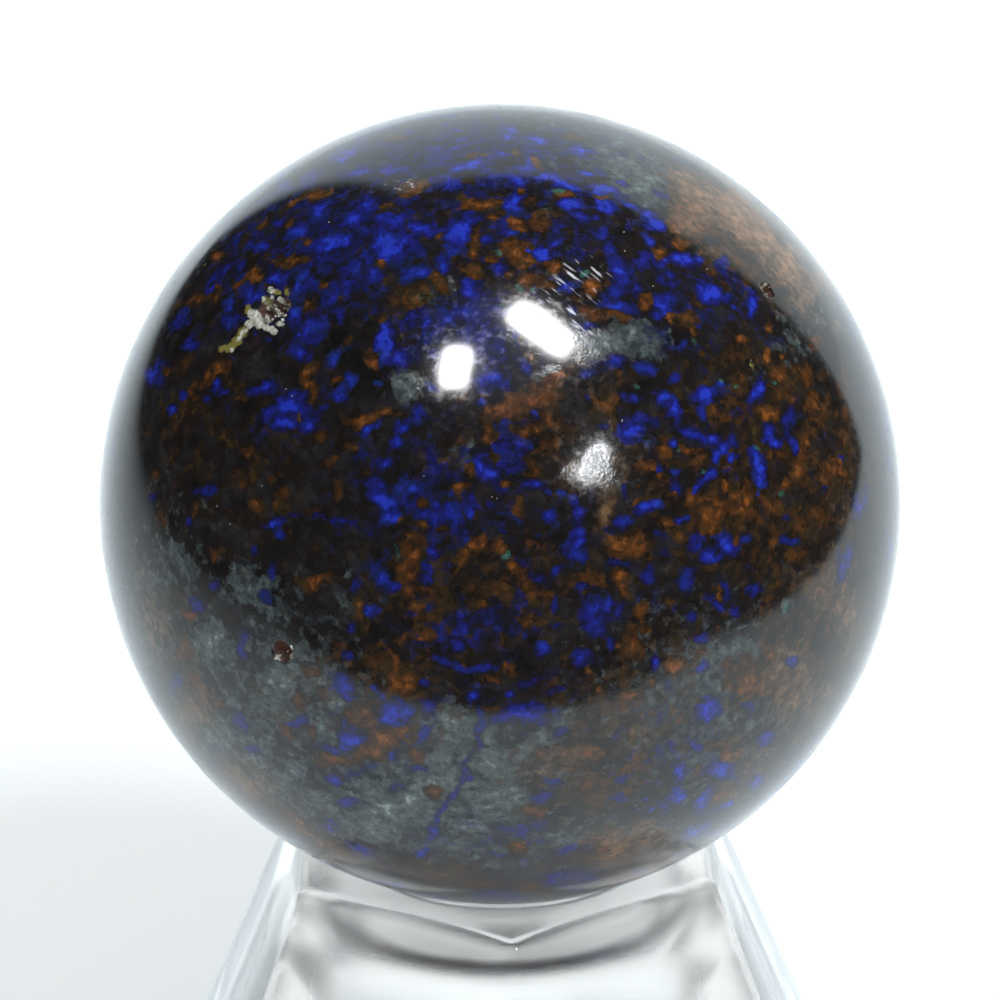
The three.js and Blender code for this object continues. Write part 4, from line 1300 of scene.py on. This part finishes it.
start_fresh()
bpy.ops.mesh.primitive_cone_add(vertices=STAND_SIDES, radius1=STAND_FOOT_RADIUS, radius2=STAND_TOP_RADIUS,
                                depth=STAND_HEIGHT, location=(0.0, 0.0, STAND_HEIGHT / 2))
stand = bpy.context.object
stand.name = "clear_stand"
settle(stand)
edge_ends = np.array([tuple(edge.vertices) for edge in stand.data.edges])
heights = read_corners(stand)[:, 2][edge_ends]
not_foot = heights.max(axis=1) > STAND_HEIGHT / 2
edit_with(stand, "edges", not_foot)
bpy.ops.mesh.bevel(offset=RIDGE_ROUND, offset_type="OFFSET", segments=ROUND_STEPS, affect="EDGES")
done_editing()
print("stand body faces", len(stand.data.polygons))

# %% The seat and the hollow
SEAT_RADIUS = STONE_RADIUS + 0.7 * MM
SEAT_DEPTH = 2.1 * MM
CEILING_THICKNESS = 2.0 * MM
WALL_THICKNESS = 1.7 * MM
HOLLOW_ROUND = 5.0 * MM
HOLLOW_STEPS = 12
RIM_ROUND = 0.25 * MM
RIM_STEPS = 3
CUT_PAST = 1.0 * MM
CUT_SEGMENTS = 96
SAME_PLACE = 0.01 * MM

flat_share = math.cos(math.pi / STAND_SIDES)
flare = (STAND_FOOT_RADIUS - STAND_TOP_RADIUS) / STAND_HEIGHT
lean = math.atan(flare * flat_share)
ceiling = STAND_HEIGHT - SEAT_DEPTH - CEILING_THICKNESS


def wall_radius(height):
    corner = STAND_FOOT_RADIUS - flare * height
    return corner * flat_share - WALL_THICKNESS / math.cos(lean)


def cut(piece, cutter, name):
    finish_modifier(piece, "BOOLEAN", name, operation="DIFFERENCE", object=cutter, solver="EXACT")
    bpy.data.objects.remove(cutter)


start_fresh()
bpy.ops.mesh.primitive_cone_add(vertices=CUT_SEGMENTS, radius1=wall_radius(-CUT_PAST),
                                radius2=wall_radius(ceiling), depth=ceiling + CUT_PAST,
                                location=(0.0, 0.0, (ceiling - CUT_PAST) / 2))
core = bpy.context.object
settle(core)
edge_ends = np.array([tuple(edge.vertices) for edge in core.data.edges])
heights = read_corners(core)[:, 2][edge_ends]
edit_with(core, "edges", heights.min(axis=1) > ceiling - SAME_PLACE)
round_reach = HOLLOW_ROUND * math.tan((math.pi / 2 - lean) / 2)
bpy.ops.mesh.bevel(offset=round_reach, offset_type="OFFSET", segments=HOLLOW_STEPS, affect="EDGES")
done_editing()
cut(stand, core, "hollow")

start_fresh()
bpy.ops.mesh.primitive_uv_sphere_add(segments=128, ring_count=96, radius=SEAT_RADIUS,
                                     location=(0.0, 0.0, STAND_HEIGHT - SEAT_DEPTH + SEAT_RADIUS))
seat = bpy.context.object
settle(seat)
cut(stand, seat, "seat")

places = read_corners(stand)
rim_radius = math.sqrt(SEAT_RADIUS ** 2 - (SEAT_RADIUS - SEAT_DEPTH) ** 2)
edge_ends = np.array([tuple(edge.vertices) for edge in stand.data.edges])
on_top = places[:, 2][edge_ends].min(axis=1) > STAND_HEIGHT - SAME_PLACE
reach = np.linalg.norm(places[:, :2], axis=1)[edge_ends]
edit_with(stand, "edges", on_top & (abs(reach - rim_radius).max(axis=1) < 0.05 * MM))
bpy.ops.mesh.bevel(offset=RIM_ROUND, offset_type="OFFSET", segments=RIM_STEPS, affect="EDGES")
done_editing()
shade_round(stand, 22)

places = read_corners(stand)
reach = np.linalg.norm(places[:, :2], axis=1)
wall_here = np.array([wall_radius(height) for height in places[:, 2]])
inside = (reach < wall_here + 0.3 * MM) & (places[:, 2] < ceiling + 0.05 * MM)
attribute = stand.data.attributes.new("inside", "FLOAT", "POINT")
attribute.data.foreach_set("value", inside.astype(np.float32))
print("stand faces", len(stand.data.polygons), "corners in the hollow", int(inside.sum()))

# %% [markdown]
# Clear acrylic is a Principled BSDF with full transmission and an index of refraction of 1.49. Its colour
# is almost white. Handling leaves faint smears, which feed the roughness, and the mould leaves the
# surface very slightly wavy, which a weak Bump shows. The mould's core was never polished, so the hollow
# is a little rougher than the outside, and that blurs what shows through it.

# %% Clear plastic material
clear_material, tree, clear_shader = plain_material("clear_plastic")
place_vector = add_node(tree, "ShaderNodeTexCoord").outputs["Object"]
marks = place_group(tree, marks_group, {"Vector": place_vector, "Smooth": 0.0, "Smeared": 0.03,
                                        "Fineness": 70.0})
unpolished = abundance("inside")
plastic_rough = weighted_sum(tree, marks.outputs["Roughness"], (unpolished, 0.30),
                             (marks.outputs["Scratch"], 0.05))
tree.links.new(plastic_rough, clear_shader.inputs["Roughness"])
waves = grain(110.0, 2.0, (0.0, 0.0, 0.0))
bump = add_node(tree, "ShaderNodeBump", {"Height": waves, "Strength": 0.25, "Distance": 0.0002})
tree.links.new(bump.outputs["Normal"], clear_shader.inputs["Normal"])
clear_shader.inputs["Base Color"].default_value = (0.97, 0.985, 0.985, 1.0)
clear_shader.inputs["Transmission Weight"].default_value = 1.0
clear_shader.inputs["IOR"].default_value = 1.49
wear(stand, clear_material)
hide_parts("stand")
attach(stand, "root")

# %% [markdown]
# The table is plain and white. In the photograph the stone mirrors a white sheet that ends a little in
# front of it, with a dark room beyond, and that gives the dark middle of the stone. So the floor is white
# for the camera everywhere, but in reflections it ends where the sheet ends, has a painted shadow that
# darkens it towards the left, is a little bluer and glows a little, as painted light that lifts the shade
# in the stone's mirror image. For the camera it is a little greyer, so that the soft shadow isn't lost in
# plain white.

# %% The floor
FLOOR_SIZE = 6.0
SHEET_FRONT = -3.4 * STONE_RADIUS
SHEET_WHITE = (0.93, 0.95, 0.955, 1.0)
SHEET_MIRRORED = (0.80, 0.90, 0.95, 1.0)
SHEET_IN_PICTURE = (0.90, 0.94, 0.95, 1.0)
SHEET_GLOW = 0.24
ROOM_DARK = (0.02, 0.02, 0.022, 1.0)

start_fresh()
bpy.ops.mesh.primitive_plane_add(size=FLOOR_SIZE, location=(0.0, 0.0, -0.02 * MM))
floor = bpy.context.object
floor.name = "table"
settle(floor)
floor_material, tree, floor_shader = plain_material("white sheet")
place_vector = add_node(tree, "ShaderNodeTexCoord").outputs["Object"]
split = add_node(tree, "ShaderNodeSeparateXYZ", {0: place_vector})
floor_x = split.outputs["X"]
floor_y = split.outputs["Y"]
floor_shader.inputs["Roughness"].default_value = 0.9
floor_shader.inputs["Specular IOR Level"].default_value = 0.1
past_right = sum_node(tree, "SUBTRACT", floor_x, 3.0 * STONE_RADIUS)
past_right = sum_node(tree, "MAXIMUM", past_right, 0.0)
front_line = weighted_sum(tree, SHEET_FRONT, (past_right, -0.15))
front_edge = map_range(tree, sum_node(tree, "SUBTRACT", floor_y, front_line), -0.003, 0.003)
# Painted shadow: in reflections the sheet darkens towards the left, where the shadow falls on the floor.
left_shadow_line = weighted_sum(tree, 6.0 * STONE_RADIUS, (floor_y, 0.40))
left = sum_node(tree, "ADD", floor_x, left_shadow_line)
left_edge = map_range(tree, left, -4.0 * STONE_RADIUS, 4.5 * STONE_RADIUS)
near_line = weighted_sum(tree, 6.7 * STONE_RADIUS, (floor_y, 0.62))
far_line = weighted_sum(tree, 1.6 * STONE_RADIUS, (floor_y, 1.345))
right_line = sum_node(tree, "MAXIMUM", near_line, far_line)
right_edge = map_range(tree, sum_node(tree, "SUBTRACT", right_line, floor_x), -0.01, 0.01)
on_sheet = product(tree, front_edge, left_edge, right_edge)
light_path, through, mirrored_ray = ray_kinds(tree)
dark_part = product(tree, sum_node(tree, "SUBTRACT", 1.0, on_sheet), mirrored_ray)
dark = add_node(tree, "ShaderNodeBsdfDiffuse", {"Color": ROOM_DARK})
floor_mix = add_node(tree, "ShaderNodeMixShader",
                     {0: dark_part, 1: floor_shader.outputs[0], 2: dark.outputs[0]})
paper = blend_colours(tree, mirrored_ray, SHEET_WHITE, SHEET_MIRRORED)
paper = blend_colours(tree, light_path.outputs["Is Camera Ray"], paper, SHEET_IN_PICTURE)
tree.links.new(paper, floor_shader.inputs["Base Color"])
# Painted light: in reflections the sheet glows a little, though it is no lamp, which lifts the shade round
# the stone in its mirror image.
floor_shader.inputs["Emission Color"].default_value = SHEET_MIRRORED
glow = sum_node(tree, "MULTIPLY", mirrored_ray, SHEET_GLOW)
tree.links.new(glow, floor_shader.inputs["Emission Strength"])
output = tree.nodes["Material Output"]
tree.links.new(floor_mix.outputs[0], output.inputs["Surface"])
wear(floor, floor_material)

# %% [markdown]
# The world is the white backdrop behind the table, up to about 45 degrees, and a dark room everywhere
# else. The camera itself never sees the room: for it the world is pale all round.

# %% The world
ROOM_LIGHT = 0.012
THROUGH_LIGHT = 0.24
SOFT_LIGHT = 0.40
BACKDROP_LIGHT = 1.12
CAMERA_LIGHT = 1.01

world = bpy.data.worlds.new("soft studio")
bpy.context.scene.world = world
world.use_nodes = True
tree = world.node_tree
tree.nodes.clear()
world_output = add_node(tree, "ShaderNodeOutputWorld")
way_vector = add_node(tree, "ShaderNodeTexCoord").outputs["Generated"]
split = add_node(tree, "ShaderNodeSeparateXYZ", {0: way_vector})
safe_depth = sum_node(tree, "MAXIMUM", split.outputs["Y"], 0.001)
sideways = sum_node(tree, "DIVIDE", split.outputs["X"], safe_depth)
upwards = sum_node(tree, "DIVIDE", split.outputs["Z"], safe_depth)
is_behind = map_range(tree, split.outputs["Y"], 0.02, 0.1)
left_edge = map_range(tree, sideways, -0.44, -0.37)
right_edge = map_range(tree, sideways, 1.40, 1.34)
top_edge = map_range(tree, upwards, 1.17, 1.09)
corner_edge = map_range(tree, weighted_sum(tree, upwards, (sideways, 1.6)), 2.85, 2.75)
panel = product(tree, left_edge, right_edge, top_edge, corner_edge, is_behind)
light_path, through, mirrored_ray = ray_kinds(tree)
strength = weighted_sum(tree, ROOM_LIGHT, (light_path.outputs["Is Diffuse Ray"], SOFT_LIGHT),
                        (through, THROUGH_LIGHT), (panel, BACKDROP_LIGHT))
for_camera = sum_node(tree, "MULTIPLY", light_path.outputs["Is Camera Ray"], CAMERA_LIGHT)
strength = sum_node(tree, "MAXIMUM", strength, for_camera)
sky = blend_colours(tree, mirrored_ray, (0.99, 1.0, 1.0, 1.0), (0.84, 0.95, 1.0, 1.0))
background = add_node(tree, "ShaderNodeBackground", {"Color": sky, "Strength": strength})
tree.links.new(background.outputs[0], world_output.inputs["Surface"])

# %% [markdown]
# Three lamps hang over the table, and the bluish haze round their highlights, which comes from the finest
# scratches, is made as a wide dim fourth. Each one's highlight is known from the photograph, and the mirror
# direction at its two ends gives the lamp's place, length and turn. A real softbox is brightest in the
# middle and has round corners, so the lamp's own nodes fade it towards its edge: Parametric runs from 0
# to 1 across a lamp, and a noise makes that edge uneven, as the rock's polish does. These lamps only make
# highlights. The even light comes from two soft suns that reflections don't show. One stands on the front
# right and throws the stand's soft shadow to the left, the other is high up on the right, behind the
# stone. A sun doesn't weaken with distance, so the table stays white up to the horizon, also in the
# stone's mirror image.

# %% The lamps
LAMP_REACH = 0.6
EDGE_POWER = 4.0
HAZE_POWER = 1.6
WHITE = (1.0, 1.0, 1.0)
COOL_WHITE = (0.95, 0.97, 1.0)
HAZE_BLUE = (0.66, 0.70, 1.0)
FRONT_SHARE = 0.37
HIGH_SHARE = 0.50


def shape_lamp(data, tint, edge_power):
    """Fades a rectangular lamp towards its rounded edge."""
    data.use_nodes = True
    tree = data.node_tree
    tree.nodes.clear()
    across = add_node(tree, "ShaderNodeNewGeometry").outputs["Parametric"]
    centred = add_node(tree, "ShaderNodeMapping",
                       {"Vector": across, "Location": (-1.0, -1.0, 0.0), "Scale": (2.0, 2.0, 0.0)})
    split = add_node(tree, "ShaderNodeSeparateXYZ", {0: centred.outputs[0]})
    far_out = -0.45
    for axis in ("X", "Y"):
        size = sum_node(tree, "ABSOLUTE", split.outputs[axis])
        far_out = sum_node(tree, "ADD", sum_node(tree, "POWER", size, edge_power), far_out)
    uneven = add_node(tree, "ShaderNodeTexNoise", {"Vector": across, "Scale": 5.0, "Detail": 4.0})
    far_out = weighted_sum(tree, far_out, (uneven.outputs[0], 1.1))
    fade = map_range(tree, far_out, 1.0, 0.35, interpolation_type="SMOOTHSTEP")
    glow = add_node(tree, "ShaderNodeEmission", {"Color": (*tint, 1.0), "Strength": fade})
    leave = add_node(tree, "ShaderNodeOutputLight")
    tree.links.new(glow.outputs[0], leave.inputs["Surface"])


def lamp(name, start, end, wide, radiance, tint, edge_power=EDGE_POWER):
    """A rectangular lamp whose mirror image on the stone runs from one pixel to another."""
    first = mirrored(*start)
    last = mirrored(*end)
    middle = mirrored((start[0] + end[0]) / 2, (start[1] + end[1]) / 2)
    data = bpy.data.lights.new(name, "AREA")
    data.shape = "RECTANGLE"
    data.size = (last - first).length * LAMP_REACH
    data.size_y = wide / STONE_PIXELS * 2 * LAMP_REACH
    data.energy = radiance * math.pi * data.size * data.size_y
    shape_lamp(data, tint, edge_power)
    place = STONE_CENTRE + middle * LAMP_REACH
    along = (last - first).normalized()
    along = (along - middle * along.dot(middle)).normalized()
    turn = Matrix((along, middle.cross(along), middle)).transposed().to_4x4()
    made = place_new(name, data)
    made.matrix_world = Matrix.Translation(place) @ turn
    made.visible_diffuse = False
    print(name, "size", round(data.size, 3), round(data.size_y, 3), "power", round(data.energy, 2))


def soft_sun(name, place, width, share):
    """A sun as wide as this many degrees, that lights a white card facing it to this share of white."""
    data = bpy.data.lights.new(name, "SUN")
    data.angle = math.radians(width)
    data.energy = share * math.pi
    made = place_new(name, data)
    made.location = place
    made.rotation_euler = place.to_track_quat("Z", "Y").to_euler()
    made.visible_glossy = False
    made.visible_transmission = False
    print(name, "strength", round(data.energy, 2))


lamp("left lamp", (460, 346), (453, 393), 31, 60.0, WHITE)
lamp("right lamp", (508, 307), (574, 355), 35, 60.0, WHITE)
lamp("small lamp", (603, 445), (579, 481), 11, 95.0, COOL_WHITE)
lamp("haze", (395, 345), (625, 350), 190, 0.55, HAZE_BLUE, HAZE_POWER)
soft_sun("front light", Vector((0.50, -0.46, 0.85)), 15, FRONT_SHARE)
soft_sun("high light", Vector((0.36, 0.40, 0.76)), 30, HIGH_SHARE)
bpy.context.scene.view_settings.view_transform = "Standard"

# %% [markdown]
# Light turns back and forth many times inside clear plastic before it comes out. If Cycles gives up too
# early, those places stay black, so it is allowed more bounces than usual.

# %% Bounces for clear plastic
CLEAR_BOUNCES = 16
paths = bpy.context.scene.cycles
paths.max_bounces = CLEAR_BOUNCES
paths.transmission_bounces = CLEAR_BOUNCES
paths.glossy_bounces = CLEAR_BOUNCES
